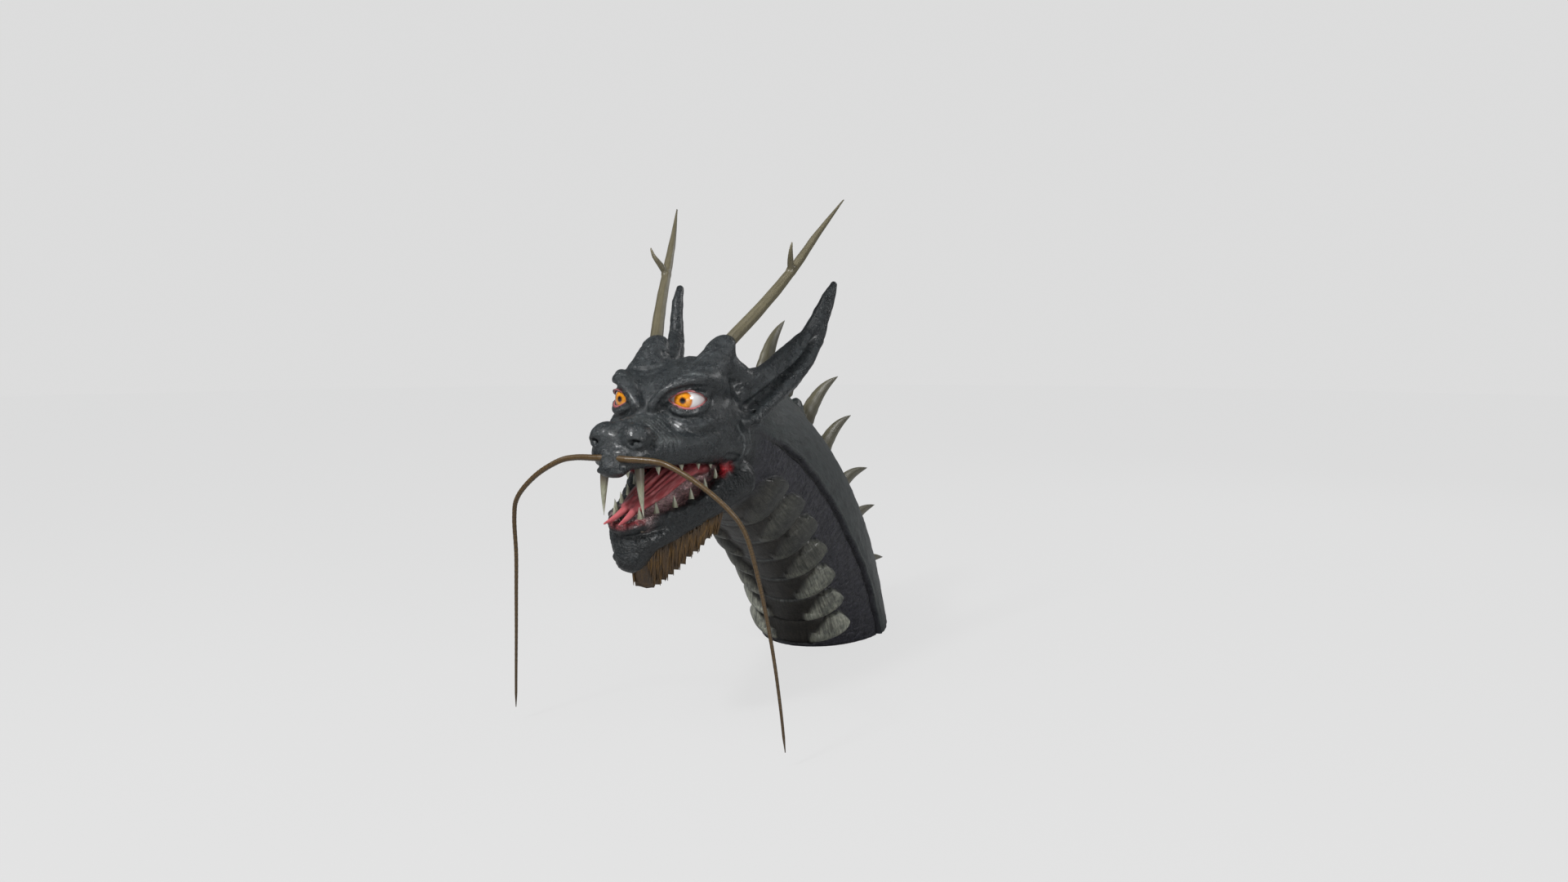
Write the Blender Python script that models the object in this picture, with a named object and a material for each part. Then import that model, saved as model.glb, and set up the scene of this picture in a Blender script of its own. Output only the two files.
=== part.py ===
# Carved head and neck of an East Asian dragon, cut flat below the neck.
# It faces -Y, its left side is +X, and the origin is the middle of the neck's flat cut.
import bmesh
import bpy
import numpy as np
from mathutils import Matrix, Vector

# Driving sizes, in metres
HEIGHT = 0.5893  # from the neck's cut to the tips of the antlers
UNIT = HEIGHT / 16.37  # half the distance between the pupils: the carving's proportions are shares of it
CLEARANCE = 0.0003  # between a fitted piece and its socket
LET_IN = 0.009  # how deep a tooth or a spine sits in its socket
SKIN_CELL = 0.0037  # grid on which the carved skin is worked out
EYE_RADIUS = 0.0205
ANTLER_RADIUS = 0.0070
TINE_RADIUS = 0.0040
WHISKER_RADIUS = 0.0036
SPINE_RADIUS = 0.0165
SPINE_THICKNESS = 0.62  # of its width
FANG_RADIUS = 0.0052
TOOTH_RADIUS = 0.0047
UPPER_TOOTH_LENGTH = 0.0110
LOWER_TOOTH_LENGTH = 0.0135
TONGUE_WIDTH = 0.0460
TONGUE_THICKNESS = 0.0140
TONGUE_GROOVE = 0.5  # depth of the groove along its top, of its half thickness
SCUTE_RELIEF = 0.0085
SEAM_DEPTH = 0.0042
BEARD_LENGTH = 0.0380
BEARD_TUFT = 0.0100  # from one pointed lock to the next
TIP_RADIUS = 0.0003

# Counts
SKIN_TRIANGLES = 3700
LOWER_TEETH = 6
UPPER_TEETH = 5
WHISKER_SIDES = 5
HORN_SIDES = 8
TONGUE_SIDES = 10

# The point midway between the pupils, in units from the middle of the neck's cut
GAZE = np.array([0.0, -13.4, 10.0])

# Middle line of the neck, from the cut to the skull: y, z, half depth, half width, in units from GAZE
NECK = [
    (14.55, -12.2, 3.15, 2.52),
    (13.67, -10.0, 3.20, 2.50),
    (12.50, -7.4, 3.12, 2.38),
    (10.78, -5.3, 3.02, 2.26),
    (8.60, -3.55, 2.85, 2.16),
    (6.10, -2.2, 2.55, 2.08),
    (3.90, -1.4, 2.10, 1.95),
    (2.60, -1.05, 1.60, 1.65),
]
# Seam between the back and the side: along the neck, and share of the half depth towards the nape
SEAM = [(0.0, -0.10), (3.0, -0.15), (8.0, -0.18), (11.0, -0.12), (14.0, -0.03), (16.5, 0.04)]

# Belly scutes, from the cut up: along the neck, in units
SCUTES = 8
SCUTE_PITCH = 1.65
SCUTE_START = 2.25
SCUTE_ENDS = [(4.4, -0.66), (7.5, -0.65), (9.0, -0.60), (10.6, -0.54), (12.0, -0.46), (14.2, -0.42)]

# Spines along the nape: root y, root z, tip y, tip z, in units
SPINES = [
    (7.60, 0.45, 9.43, 2.45),
    (9.50, -0.20, 11.30, 1.60),
    (11.35, -1.45, 14.89, 0.23),
    (12.90, -2.95, 16.46, -1.49),
    (14.20, -4.80, 18.61, -4.00),
    (15.25, -6.60, 19.67, -5.84),
    (16.10, -8.50, 20.92, -8.52),
]

# Section of the beard: share of its half width, of its drop, and how far that leans back
BEARD_SECTION = [(-1, -1, 0), (-0.85, 1, 0.12), (0, 1.1, 0.2), (0.85, 1, 0.12), (1, -1, 0), (0, -1.2, 0)]
BEARD_ROOT = 0.30  # how far its top stands in the jaw, in units
LOCK_SHARE = 0.72  # how far the fringe hangs between two locks
TOOTH_WAIST = 0.55  # where along a tooth its middle ring lies

# Wall behind the upper lip, from the middle back: x, y, z, radius, in units
LIP_WALL = [
    (0.10, -1.98, -1.50, 0.36),
    (0.50, -1.68, -1.43, 0.40),
    (0.90, -0.90, -1.38, 0.44),
    (1.18, 0.10, -1.36, 0.47),
    (1.34, 1.20, -1.38, 0.50),
    (1.40, 2.20, -1.42, 0.60),
]

# Lower jaw and its lip, from the chin back: x, y, z, radius, in units
JAW_ARM = [
    (0.00, -1.28, -3.98, 0.42),
    (0.28, -1.10, -3.92, 0.44),
    (0.74, -0.48, -3.60, 0.42),
    (1.08, 0.50, -3.22, 0.42),
    (1.36, 1.50, -2.88, 0.50),
    (1.50, 2.30, -2.50, 0.64),
]
LOWER_LIP = [
    (0.00, -1.70, -3.54, 0.16),
    (0.26, -1.60, -3.50, 0.17),
    (0.66, -1.08, -3.30, 0.18),
    (1.04, -0.10, -3.08, 0.19),
    (1.36, 0.90, -2.68, 0.20),
    (1.56, 1.55, -2.25, 0.20),
]

# The eye and the almond opening between its lids, in units
EYE_CENTRE = (0.90, 0.42, 0.0)
EYE_MIDDLE = (1.13, 0.09, 0.02)  # of the opening between the lids
EYE_ALONG = (0.819, 0.574)  # x, y, from the inner corner to the outer one
EYE_OPEN = 0.57  # half the opening's length
LID_OPEN = 0.25  # half its height


def place(point):
    """A point in units from GAZE, as metres from the neck's cut."""
    return Vector((np.array(point, float) + GAZE) * UNIT)


def share(length):
    """A real length as a share of the unit."""
    return length / UNIT


# Forms as distances: negative inside, in units


def ramp(low, high, value):
    t = np.clip((value - low) / (high - low), 0, 1)
    return t * t * (3 - 2 * t)


def blend(a, b, width):
    h = np.clip(0.5 + 0.5 * (b - a) / width, 0, 1)
    return b + (a - b) * h - width * h * (1 - h)


def carve(body, tool, width):
    return -blend(-body, tool, width)


def ball(p, centre, radii, pitch=0.0):
    q = p - np.array(centre, np.float32)
    if pitch:
        c, s = np.cos(np.radians(pitch)), np.sin(np.radians(pitch))
        q = np.stack([q[:, 0], q[:, 1] * c + q[:, 2] * s, -q[:, 1] * s + q[:, 2] * c], 1)
    r = np.array(radii, np.float32)
    q = q / r
    k0 = np.sqrt((q * q).sum(1)) + 1e-6
    k1 = np.sqrt(((q / r) ** 2).sum(1)) + 1e-6
    return k0 * (k0 - 1) / k1


def smooth_run(points, count):
    """Count points on a smooth run through the given ones."""
    pts = np.array(points, float)
    ext = np.vstack([2 * pts[0] - pts[1], pts, 2 * pts[-1] - pts[-2]])
    t = np.linspace(0, len(pts) - 1, count)
    i = np.minimum(t.astype(int), len(pts) - 2)
    f = (t - i)[:, None]
    a, b, c, d = ext[i], ext[i + 1], ext[i + 2], ext[i + 3]
    bend = (2 * a - 5 * b + 4 * c - d) * f**2 + (3 * b - a - 3 * c + d) * f**3
    return 0.5 * (2 * b + (c - a) * f + bend)


def nearest_on(p, a, b):
    """The share along a to b nearest to each point, and the way from there to the point."""
    run = (b - a).astype(np.float32)
    away = p - a.astype(np.float32)
    t = np.clip(away @ run / max(float(run @ run), 1e-9), 0, 1)
    return t, away - t[:, None] * run


def limb(p, points, count=0, wide=1.0):
    """A round limb through (x, y, z, radius) points; wide stretches it along x."""
    run = smooth_run(points, count) if count else np.array(points, float)
    scale = np.array((1 / wide, 1, 1), np.float32)
    q = p * scale
    line = run[:, :3] * scale
    best = np.full(len(p), 1e3, np.float32)
    for k in range(len(run) - 1):
        t, away = nearest_on(q, line[k], line[k + 1])
        radius = run[k, 3] + (run[k + 1, 3] - run[k, 3]) * t
        best = np.minimum(best, np.sqrt((away * away).sum(1)) - radius)
    return best


def stroke(p, body, points, width, height, count=0):
    """Raises the skin along a line, or cuts a groove where the height is negative."""
    run = smooth_run(points, count) if count else np.array(points, float)
    low, high = run.min(0) - width, run.max(0) + width
    near = np.flatnonzero(((p > low) & (p < high)).all(1) & (np.abs(body) < 1))
    if not len(near):
        return body
    best = np.full(len(near), 1e3, np.float32)
    for a, b in zip(run[:-1], run[1:]):
        _, away = nearest_on(p[near], a, b)
        best = np.minimum(best, (away * away).sum(1) / width**2)
    body = body.copy()
    body[near] -= height * np.clip(1 - best, 0, 1) ** 2
    return body


# The neck


def neck_place(p):
    """Along the neck from its cut, across it towards the nape, its half depth and width, and past its end."""
    run = smooth_run(NECK, 25)
    best = np.full(len(p), 1e9, np.float32)
    found = np.zeros((5, len(p)), np.float32)
    total = 0.0
    for k, (a, b) in enumerate(zip(run[:-1], run[1:])):
        length = np.linalg.norm(b[:2] - a[:2])
        way = ((b[:2] - a[:2]) / length).astype(np.float32)
        off = p[:, 1:] - a[:2].astype(np.float32)
        reach = off @ way
        held = np.clip(reach, 0, length)
        across = off[:, 0] * way[1] - off[:, 1] * way[0]
        miss = (reach - held) ** 2 + across**2
        t = held / length
        depth = a[2] + (b[2] - a[2]) * t
        width = a[3] + (b[3] - a[3]) * t
        past = reach - held
        joint = ((past < 0) & (k > 0)) | ((past > 0) & (k < len(run) - 2))
        across = np.where(joint, np.sign(across) * np.hypot(across, past), across)
        here = np.stack([total + held, across, depth, width, np.where(joint, 0, past)])
        take = miss < best
        best = np.where(take, miss, best)
        found = np.where(take, here, found)
        total += length
    return found


def neck_form(p, spot):
    along, across, depth, width, past = spot
    width = width * (1 - 0.14 * np.clip(across / depth, 0, 1))
    round_share = np.sqrt((p[:, 0] / width) ** 2 + (across / depth) ** 2)
    d = (round_share - 1) * np.minimum(width, depth)
    return np.where(np.abs(past) > 1e-4, np.hypot(np.maximum(d, 0), past) + np.minimum(d, 0), d)


def neck_relief(spot, x):
    """Height of the belly scutes and of the seam between the back and the side."""
    along, across, depth, width, _ = spot
    turn = across / depth
    rise = share(SCUTE_RELIEF)
    # Each scute is a roll that is thickest near its lower edge and at its outer end
    belly = np.clip(np.abs(x) / width, 0, 1)
    step = (along - SCUTE_START - 0.25 * belly**4) / SCUTE_PITCH
    part = np.clip(step - np.floor(step), 0.001, 0.999)
    dome = np.sin(np.pi * part**0.6) ** 0.7
    end = np.interp(along, [e[0] for e in SCUTE_ENDS], [e[1] for e in SCUTE_ENDS]) + 0.13 * (dome - 1)
    rows = ramp(-0.2, 0.1, step) * ramp(SCUTES + 0.1, SCUTES - 0.3, step)
    inside = ramp(end + 0.04, end - 0.06, turn) * rows
    height = inside * rise * (dome * (0.3 + 0.7 * ramp(0.2, 0.8, belly)) - 0.1)
    # The back overlaps the side along the seam
    seam = np.interp(along, [s[0] for s in SEAM], [s[1] for s in SEAM])
    past_seam = (turn - seam) * depth
    lap = ramp(-0.05, 0.05, past_seam) * ramp(1.4, 0.1, past_seam) * 0.5 * share(SEAM_DEPTH)
    groove = np.exp(-(((past_seam + 0.09) / 0.09) ** 2)) * share(SEAM_DEPTH)
    return height + (lap - groove) * ramp(16.2, 14.5, along)


def crest_form(p):
    """The low ridge that the spines stand on, with a hump between each two."""
    line = [
        (0, 4.2, 0.10, 0.50),
        (0, 6.4, 0.15, 0.46),
        (0, 8.5, -0.35, 0.44),
        (0, 10.5, -1.50, 0.42),
        (0, 12.3, -2.95, 0.42),
        (0, 13.9, -4.80, 0.40),
        (0, 15.3, -6.90, 0.38),
        (0, 16.4, -9.20, 0.36),
        (0, 17.3, -11.60, 0.36),
    ]
    crest = limb(p, line, 22)
    for k, (y, z, _, _) in enumerate(SPINES[:-1]):
        y2, z2 = SPINES[k + 1][:2]
        crest = blend(crest, ball(p, (0, (y + y2) / 2, (z + z2) / 2 + 0.12), (0.3, 0.42, 0.42)), 0.3)
    return crest


# The head


def skull_form(p):
    skull = ball(p, (0, 2.1, -0.6), (1.66, 2.5, 1.62))
    skull = blend(skull, ball(p, (0, 3.5, -0.9), (1.8, 2.0, 1.6)), 0.5)
    skull = blend(skull, ball(p, (1.02, 1.3, -0.95), (0.78, 1.5, 0.95)), 0.4)
    skull = blend(skull, ball(p, (0, 2.35, 0.35), (1.0, 1.1, 0.86)), 0.3)
    nape = limb(p, [(1.22, 2.3, 0.72, 0.40), (1.40, 3.0, 0.42, 0.38), (1.60, 3.7, 0.58, 0.34)], 5)
    skull = blend(skull, nape, 0.3)
    bridge = limb(p, [(0, -1.45, -0.98, 0.50), (0, -0.6, -1.02, 0.62), (0, 0.5, -1.1, 0.85)], 6, 1.25)
    skull = blend(skull, bridge, 0.3)
    wall = limb(p, LIP_WALL, 14)
    skull = blend(skull, wall, 0.3)
    skull = blend(skull, ball(p, (0, 0.3, -1.3), (1.05, 2.1, 0.5)), 0.3)
    return carve(skull, ball(p, (0, 0.2, -2.2), (0.85, 2.0, 0.62)), 0.15)


def nose_form(p, skull):
    skull = blend(skull, ball(p, (0.47, -1.68, -0.96), (0.48, 0.47, 0.43)), 0.08)
    skull = blend(skull, ball(p, (0, -1.72, -1.08), (0.3, 0.42, 0.42)), 0.10)
    skull = blend(skull, ball(p, (0, -2.12, -1.78), (0.44, 0.34, 0.27)), 0.15)
    skull = carve(skull, ball(p, (0.66, -2.10, -1.06), (0.13, 0.16, 0.085)), 0.08)
    skull = stroke(p, skull, [(0.5, -2.1, -0.93), (0.72, -2.03, -0.9), (0.85, -1.9, -1.0)], 0.12, 0.05, 8)
    skull = stroke(p, skull, [(0.0, -2.0, -0.6), (0.0, -2.16, -0.95), (0.0, -2.2, -1.3)], 0.16, -0.10, 6)
    return stroke(p, skull, [(0.72, -1.2, -0.5), (0.98, -1.3, -0.85), (0.95, -1.45, -1.25)], 0.2, -0.12, 8)


def bridge_wrinkles(p, skull):
    """Folds that cross the bridge of the nose in arcs."""
    for k in range(4):
        y = -1.15 + 0.27 * k
        fold = [(0, y, -0.42), (0.35, y + 0.05, -0.5), (0.65, y + 0.2, -0.72), (0.82, y + 0.4, -1.0)]
        skull = stroke(p, skull, fold, 0.13, -0.05, 8)
    return skull


def brow_form(p, skull):
    ridge = [
        (0.26, -0.45, -0.14, 0.16),
        (0.52, -0.30, 0.12, 0.21),
        (0.92, -0.02, 0.44, 0.25),
        (1.30, 0.38, 0.60, 0.26),
        (1.46, 1.00, 0.50, 0.22),
        (1.46, 1.80, 0.25, 0.14),
    ]
    skull = blend(skull, limb(p, ridge, 12), 0.22)
    furrow = [(0.1, -0.55, -0.15), (0.14, -0.4, 0.2), (0.12, -0.2, 0.7)]
    skull = stroke(p, skull, furrow, 0.14, -0.06, 6)
    fold = [(0.1, -0.15, 0.98), (0.55, 0.1, 1.04), (1.0, 0.55, 1.04), (1.38, 1.2, 0.96), (1.58, 2.1, 0.78)]
    skull = stroke(p, skull, fold, 0.2, 0.10, 12)
    knob = limb(p, [(0.92, 1.4, 0.5, 0.66), (1.06, 1.80, 1.0, 0.53), (1.16, 2.12, 1.38, 0.42)], 5)
    skull = blend(skull, knob, 0.25)
    # Thick rings round the foot of the antler
    for along, radius in ((0.0, 0.36), (0.36, 0.33)):
        centre = (1.12 + 0.14 * along, 2.0 + 0.5 * along, 1.42 + 0.5 * along)
        bead = ball(p, centre, (radius + 0.06, radius + 0.04, radius - 0.1), 35)
        skull = blend(skull, bead, 0.1)
    return skull


def eye_opening(p):
    """Distance to the almond between the lids, and how far out of it a point lies."""
    off = p - np.array(EYE_MIDDLE, np.float32)
    along = off[:, 0] * EYE_ALONG[0] + off[:, 1] * EYE_ALONG[1]
    out = off[:, 0] * EYE_ALONG[1] - off[:, 1] * EYE_ALONG[0]
    reach = np.clip(1 - (along / EYE_OPEN) ** 2, -1, 1)
    return np.maximum(np.abs(off[:, 2]) - LID_OPEN * reach, -0.35 - out), along, out


def eye_form(p, skull):
    lids = ball(p, EYE_CENTRE, (share(EYE_RADIUS) + 0.10,) * 3)
    skull = blend(skull, lids, 0.16)
    opening, _, _ = eye_opening(p)
    skull = carve(skull, opening, 0.05)
    bag = [(0.72, -0.22, -0.3), (1.0, -0.15, -0.42), (1.35, 0.12, -0.42), (1.62, 0.5, -0.25)]
    skull = stroke(p, skull, bag, 0.16, 0.07, 10)
    fold = [(0.9, -0.35, -0.62), (1.3, -0.1, -0.75), (1.65, 0.4, -0.68), (1.8, 1.0, -0.5)]
    skull = stroke(p, skull, fold, 0.22, 0.09, 10)
    return stroke(p, skull, [(q[0], q[1], q[2] - 0.28) for q in fold], 0.16, -0.06, 10)


def ear_form(p):
    """A long leaf: two edges and a web set back between them."""
    upper = [
        (1.45, 2.7, 0.20, 0.42),
        (1.80, 3.9, 0.85, 0.34),
        (2.08, 4.92, 1.44, 0.29),
        (2.28, 5.32, 1.70, 0.26),
        (2.46, 5.72, 1.88, 0.24),
        (2.66, 6.08, 2.48, 0.21),
        (2.82, 6.45, 3.12, 0.17),
        (2.92, 6.84, 3.55, 0.11),
    ]
    lower = [
        (1.60, 2.5, -0.55, 0.25),
        (1.92, 3.7, -0.25, 0.24),
        (2.20, 4.8, 0.28, 0.21),
        (2.47, 5.62, 0.95, 0.19),
        (2.68, 6.08, 1.72, 0.18),
        (2.79, 6.35, 2.40, 0.17),
        (2.89, 6.73, 3.10, 0.13),
        (2.94, 6.84, 3.55, 0.09),
    ]
    web = [
        (1.45, 3.0, -0.15, 0.40),
        (1.90, 4.2, 0.40, 0.36),
        (2.25, 5.1, 0.98, 0.34),
        (2.48, 5.72, 1.55, 0.30),
        (2.70, 6.18, 2.25, 0.22),
        (2.84, 6.55, 3.00, 0.14),
    ]
    ear = blend(limb(p, upper, 14), limb(p, lower, 14), 0.15)
    ear = blend(ear, limb(p, web, 12), 0.12)
    roll = [
        (1.88, 2.42, -0.72, 0.15),
        (1.98, 2.85, -0.62, 0.17),
        (2.10, 3.50, -0.28, 0.17),
        (2.24, 4.50, 0.24, 0.17),
        (2.52, 5.38, 0.86, 0.16),
        (2.74, 6.02, 1.66, 0.13),
    ]
    ear = blend(ear, limb(p, roll, 10), 0.08)
    # a groove above the roll, cut from the side
    flat = np.array((0.2, 1, 1), np.float32)
    above = [(0.2 * x, y - 0.12, z + 0.24) for x, y, z, _ in roll]
    return stroke(p * flat, ear, above, 0.20, -0.16, 10)


def jaw_form(p):
    jaw = blend(limb(p, JAW_ARM, 12), ball(p, (0, 0.7, -3.45), (1.0, 2.2, 0.38), 17), 0.25)
    jaw = blend(jaw, ball(p, (0, -1.15, -4.32), (0.46, 0.62, 0.48), 25), 0.28)
    jaw = blend(jaw, limb(p, LOWER_LIP, 14), 0.14)
    floor = [(0, -1.2, -3.28, 0.30), (0, -0.2, -3.0, 0.40), (0, 1.0, -2.6, 0.46), (0, 2.0, -2.2, 0.5)]
    trough = limb(p, floor, 8, 1.65)
    jaw = carve(jaw, trough, 0.12)
    under_lip = [(q[0] * 1.05, q[1] - 0.12, q[2] - 0.3) for q in LOWER_LIP[:-1]]
    return stroke(p, jaw, under_lip, 0.16, -0.07, 14)


def body_form(p):
    """The whole carved body: head, ears, jaw and neck are one piece."""
    p = p.copy()
    p[:, 0] = np.abs(p[:, 0])
    spot = neck_place(p)
    neck = neck_form(p, spot) - neck_relief(spot, p[:, 0])
    neck = blend(neck, crest_form(p), 0.55)
    skull = nose_form(p, skull_form(p))
    skull = brow_form(p, bridge_wrinkles(p, skull))
    skull = eye_form(p, skull)
    body = blend(neck, skull, 0.4)
    body = blend(body, ear_form(p), 0.22)
    back_of_mouth = ball(p, (0, 2.75, -2.35), (1.45, 0.95, 1.1))
    body = blend(body, back_of_mouth, 0.2)
    body = blend(body, jaw_form(p), 0.14)
    return np.maximum(body, -GAZE[2] - p[:, 2])


# The skin of a form, worked out cell by cell


def near_cells(form, low, counts, cell):
    """Values on a fine grid, worked out only near the form's surface."""
    coarse = 4
    blocks = np.stack(np.meshgrid(*[np.arange(n) for n in counts], indexing="ij"), -1).reshape(-1, 3)
    rough = form((low + (blocks + 0.5) * cell * coarse).astype(np.float32))
    signs = np.where(rough < 0, -9.0, 9.0).astype(np.float32).reshape(counts)
    values = signs.repeat(coarse, 0).repeat(coarse, 1).repeat(coarse, 2)
    steps = np.stack(np.meshgrid(*[np.arange(coarse)] * 3, indexing="ij"), -1).reshape(-1, 3)
    near = blocks[np.abs(rough) < 1.7 * coarse * cell]
    cells = (near[:, None, :] * coarse + steps).reshape(-1, 3)
    values[tuple(cells.T)] = form((low + (cells + 0.5) * cell).astype(np.float32))
    return values


def open_corners():
    """For each of the 256 ways to fill a cell's corners, whether its skin would touch itself."""
    touching = np.zeros(256, bool)
    for code in range(256):
        for inside in (0, 1):
            side = {k for k in range(8) if (code >> k & 1) == inside}
            if not side:
                continue
            reached = {min(side)}
            for _ in range(7):
                reached |= {k ^ bit for k in reached for bit in (1, 2, 4)} & side
            touching[code] |= reached != side
    return touching


def without_touching(values):
    """Fills single cells where the skin would touch itself along an edge or at a point."""
    touching = open_corners()
    corners = np.array([(k & 1, k >> 1 & 1, k >> 2 & 1) for k in range(8)])
    while True:
        inside = values < 0
        codes = np.zeros(np.array(values.shape) - 1, np.uint8)
        for k, (x, y, z) in enumerate(corners):
            piece = inside[x : x + codes.shape[0], y : y + codes.shape[1], z : z + codes.shape[2]]
            codes |= piece.astype(np.uint8) << k
        cells = np.argwhere(touching[codes])
        if not len(cells):
            return values
        around = cells[:, None, :] + corners
        held = values[tuple(around.reshape(-1, 3).T)].reshape(-1, 8)
        nearest = np.where(held < 0, np.inf, held).argmin(1)
        values[tuple(around[np.arange(len(cells)), nearest].T)] = -1e-3


def skin(form, low, high, cell):
    """Points and four-sided faces of a form's surface: one point in each cell that it crosses."""
    low = np.array(low, float)
    counts = np.ceil((np.array(high) - low) / (cell * 4)).astype(int) + 1
    values = without_touching(near_cells(form, low, counts, cell))
    shape = np.array(values.shape)
    strides = np.array([shape[1] * shape[2], shape[2], 1])
    axes = np.eye(3, dtype=int)
    faces, crossings = [], []
    for k in range(3):
        first = [slice(1, -1)] * 3
        second = [slice(1, -1)] * 3
        first[k] = slice(0, -1)
        second[k] = slice(1, None)
        crossed = (values[tuple(first)] < 0) != (values[tuple(second)] < 0)
        start = np.argwhere(crossed) + 1 - axes[k]
        va = values[tuple(start.T)]
        vb = values[tuple((start + axes[k]).T)]
        crossing = start + (va / (va - vb))[:, None] * axes[k]
        du, dv = axes[(k + 1) % 3], axes[(k + 2) % 3]
        ring = np.stack([(start - c) @ strides for c in (0 * du, du, du + dv, dv)], 1)
        faces.append(np.where((va < 0)[:, None], ring, ring[:, ::-1]))
        crossings.append(np.repeat(crossing[:, None, :], 4, 1))
    faces = np.concatenate(faces)
    crossings = np.concatenate(crossings).reshape(-1, 3)
    used, index = np.unique(faces, return_inverse=True)
    index = index.reshape(-1)
    tally = np.bincount(index)
    points = np.stack([np.bincount(index, crossings[:, k]) / tally for k in range(3)], 1)
    return low + (points + 0.5) * cell, index.reshape(-1, 4)


# Blender objects


def material(name, colour, roughness, metallic=0.0):
    found = bpy.data.materials.get(name) or bpy.data.materials.new(name)
    found.use_nodes = True
    shader = found.node_tree.nodes["Principled BSDF"]
    shader.inputs["Base Color"].default_value = (*colour, 1)
    shader.inputs["Roughness"].default_value = roughness
    shader.inputs["Metallic"].default_value = metallic
    return found


def skin_material():
    return material("charcoal_skin", (0.045, 0.055, 0.058), 0.42)


def horn_material():
    return material("olive_horn", (0.16, 0.13, 0.075), 0.45)


def tooth_material():
    return material("tooth", (0.45, 0.44, 0.33), 0.4)


def eye_material():
    return material("eye", (0.75, 0.42, 0.06), 0.12)


def tongue_material():
    return material("tongue", (0.34, 0.045, 0.05), 0.4)


def whisker_material():
    return material("whisker", (0.17, 0.10, 0.03), 0.42)


def beard_material():
    return material("beard", (0.13, 0.075, 0.02), 0.55)


def add_object(name, mesh, finish):
    mesh.materials.clear()
    mesh.materials.append(finish)
    mesh.shade_smooth()
    mesh.set_sharp_from_angle(angle=0.9)
    obj = bpy.data.objects.new(name, mesh)
    bpy.context.scene.collection.objects.link(obj)
    return obj


def tube_mesh(name, bm, rings):
    """Closes rings of points into one skin."""
    for a, b in zip(rings[:-1], rings[1:]):
        for n in range(len(a)):
            m = (n + 1) % len(a)
            bm.faces.new((a[n], a[m], b[m], b[n]))
    bm.faces.new(rings[0][::-1])
    bm.faces.new(rings[-1])
    return mesh_of(name, bm)


def mesh_of(name, bm):
    bmesh.ops.recalc_face_normals(bm, faces=bm.faces)
    mesh = bpy.data.meshes.new(name)
    bm.to_mesh(mesh)
    bm.free()
    return mesh


def applied(obj):
    """Replaces the object's mesh by the one that its modifiers make."""
    graph = bpy.context.evaluated_depsgraph_get()
    obj.data = bpy.data.meshes.new_from_object(obj.evaluated_get(graph))
    obj.modifiers.clear()
    return obj


def tapered(name, run, sides, flat=1.0, side_way=Vector((1, 0, 0))):
    """A closed tapered rod through (x, y, z, radius) rows in metres, thinner along side_way by flat."""
    bm = bmesh.new()
    points = [Vector(row[:3]) for row in run]
    rings = []
    for k, row in enumerate(run):
        way = (points[min(k + 1, len(run) - 1)] - points[max(k - 1, 0)]).normalized()
        u = (side_way - way * side_way.dot(way)).normalized()
        v = way.cross(u)
        ring = []
        for n in range(sides):
            angle = 2 * np.pi * n / sides
            out = u * np.cos(angle) * flat + v * np.sin(angle)
            ring.append(bm.verts.new(points[k] + out * row[3]))
        rings.append(ring)
    return tube_mesh(name, bm, rings)


def mirrored(mesh, name):
    copy = mesh.copy()
    copy.name = name
    copy.transform(Matrix.Scale(-1, 4, Vector((1, 0, 0))))
    copy.flip_normals()
    return copy


def add_pair(name, mesh, finish):
    """The piece on the dragon's left and its mirror image on the right."""
    left = add_object(name + "_left", mesh, finish)
    right = add_object(name + "_right", mirrored(mesh, name + "_right"), finish)
    return [left, right]


def joined(obj, other):
    """The union of two objects, kept as the first."""
    union = obj.modifiers.new("Union", "BOOLEAN")
    union.operation = "UNION"
    union.object = other
    applied(obj)
    bpy.data.objects.remove(other)
    return obj


def metres(rows):
    """Rows of x, y, z in units and a radius in metres, as rows in metres."""
    return [(*place(row[:3]), row[3]) for row in rows]


def add_antlers():
    beam = smooth_run(
        [
            (1.06, 1.85, 1.20, 1.05),
            (1.32, 2.46, 1.76, 1.0),
            (1.84, 3.62, 2.80, 0.86),
            (2.30, 4.82, 3.93, 0.72),
            (2.70, 5.95, 5.15, 0.48),
            (3.17, 7.10, 6.37, 0.08),
        ],
        10,
    )
    tine = smooth_run(
        [
            (2.28, 4.78, 3.90, 1.0),
            (2.36, 4.55, 4.20, 0.78),
            (2.48, 4.30, 4.50, 0.45),
            (2.55, 4.23, 4.76, 0.12),
        ],
        6,
    )
    finish = horn_material()
    beam_rows = metres([(*row[:3], row[3] * ANTLER_RADIUS) for row in beam])
    tine_rows = metres([(*row[:3], row[3] * TINE_RADIUS) for row in tine])
    antler = add_object("antler_left", tapered("antler_left", beam_rows, HORN_SIDES), finish)
    side = add_object("tine", tapered("tine", tine_rows, 7), finish)
    joined(antler, side)
    other = add_object("antler_right", mirrored(antler.data, "antler_right"), finish)
    return [antler, other]


def add_eyes():
    bm = bmesh.new()
    bmesh.ops.create_uvsphere(bm, u_segments=12, v_segments=8, radius=EYE_RADIUS)
    turn = Matrix.Rotation(np.radians(90), 4, "X")
    bmesh.ops.transform(bm, matrix=Matrix.Translation(place(EYE_CENTRE)) @ turn, verts=bm.verts)
    return add_pair("eye", mesh_of("eye_left", bm), eye_material())


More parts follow.
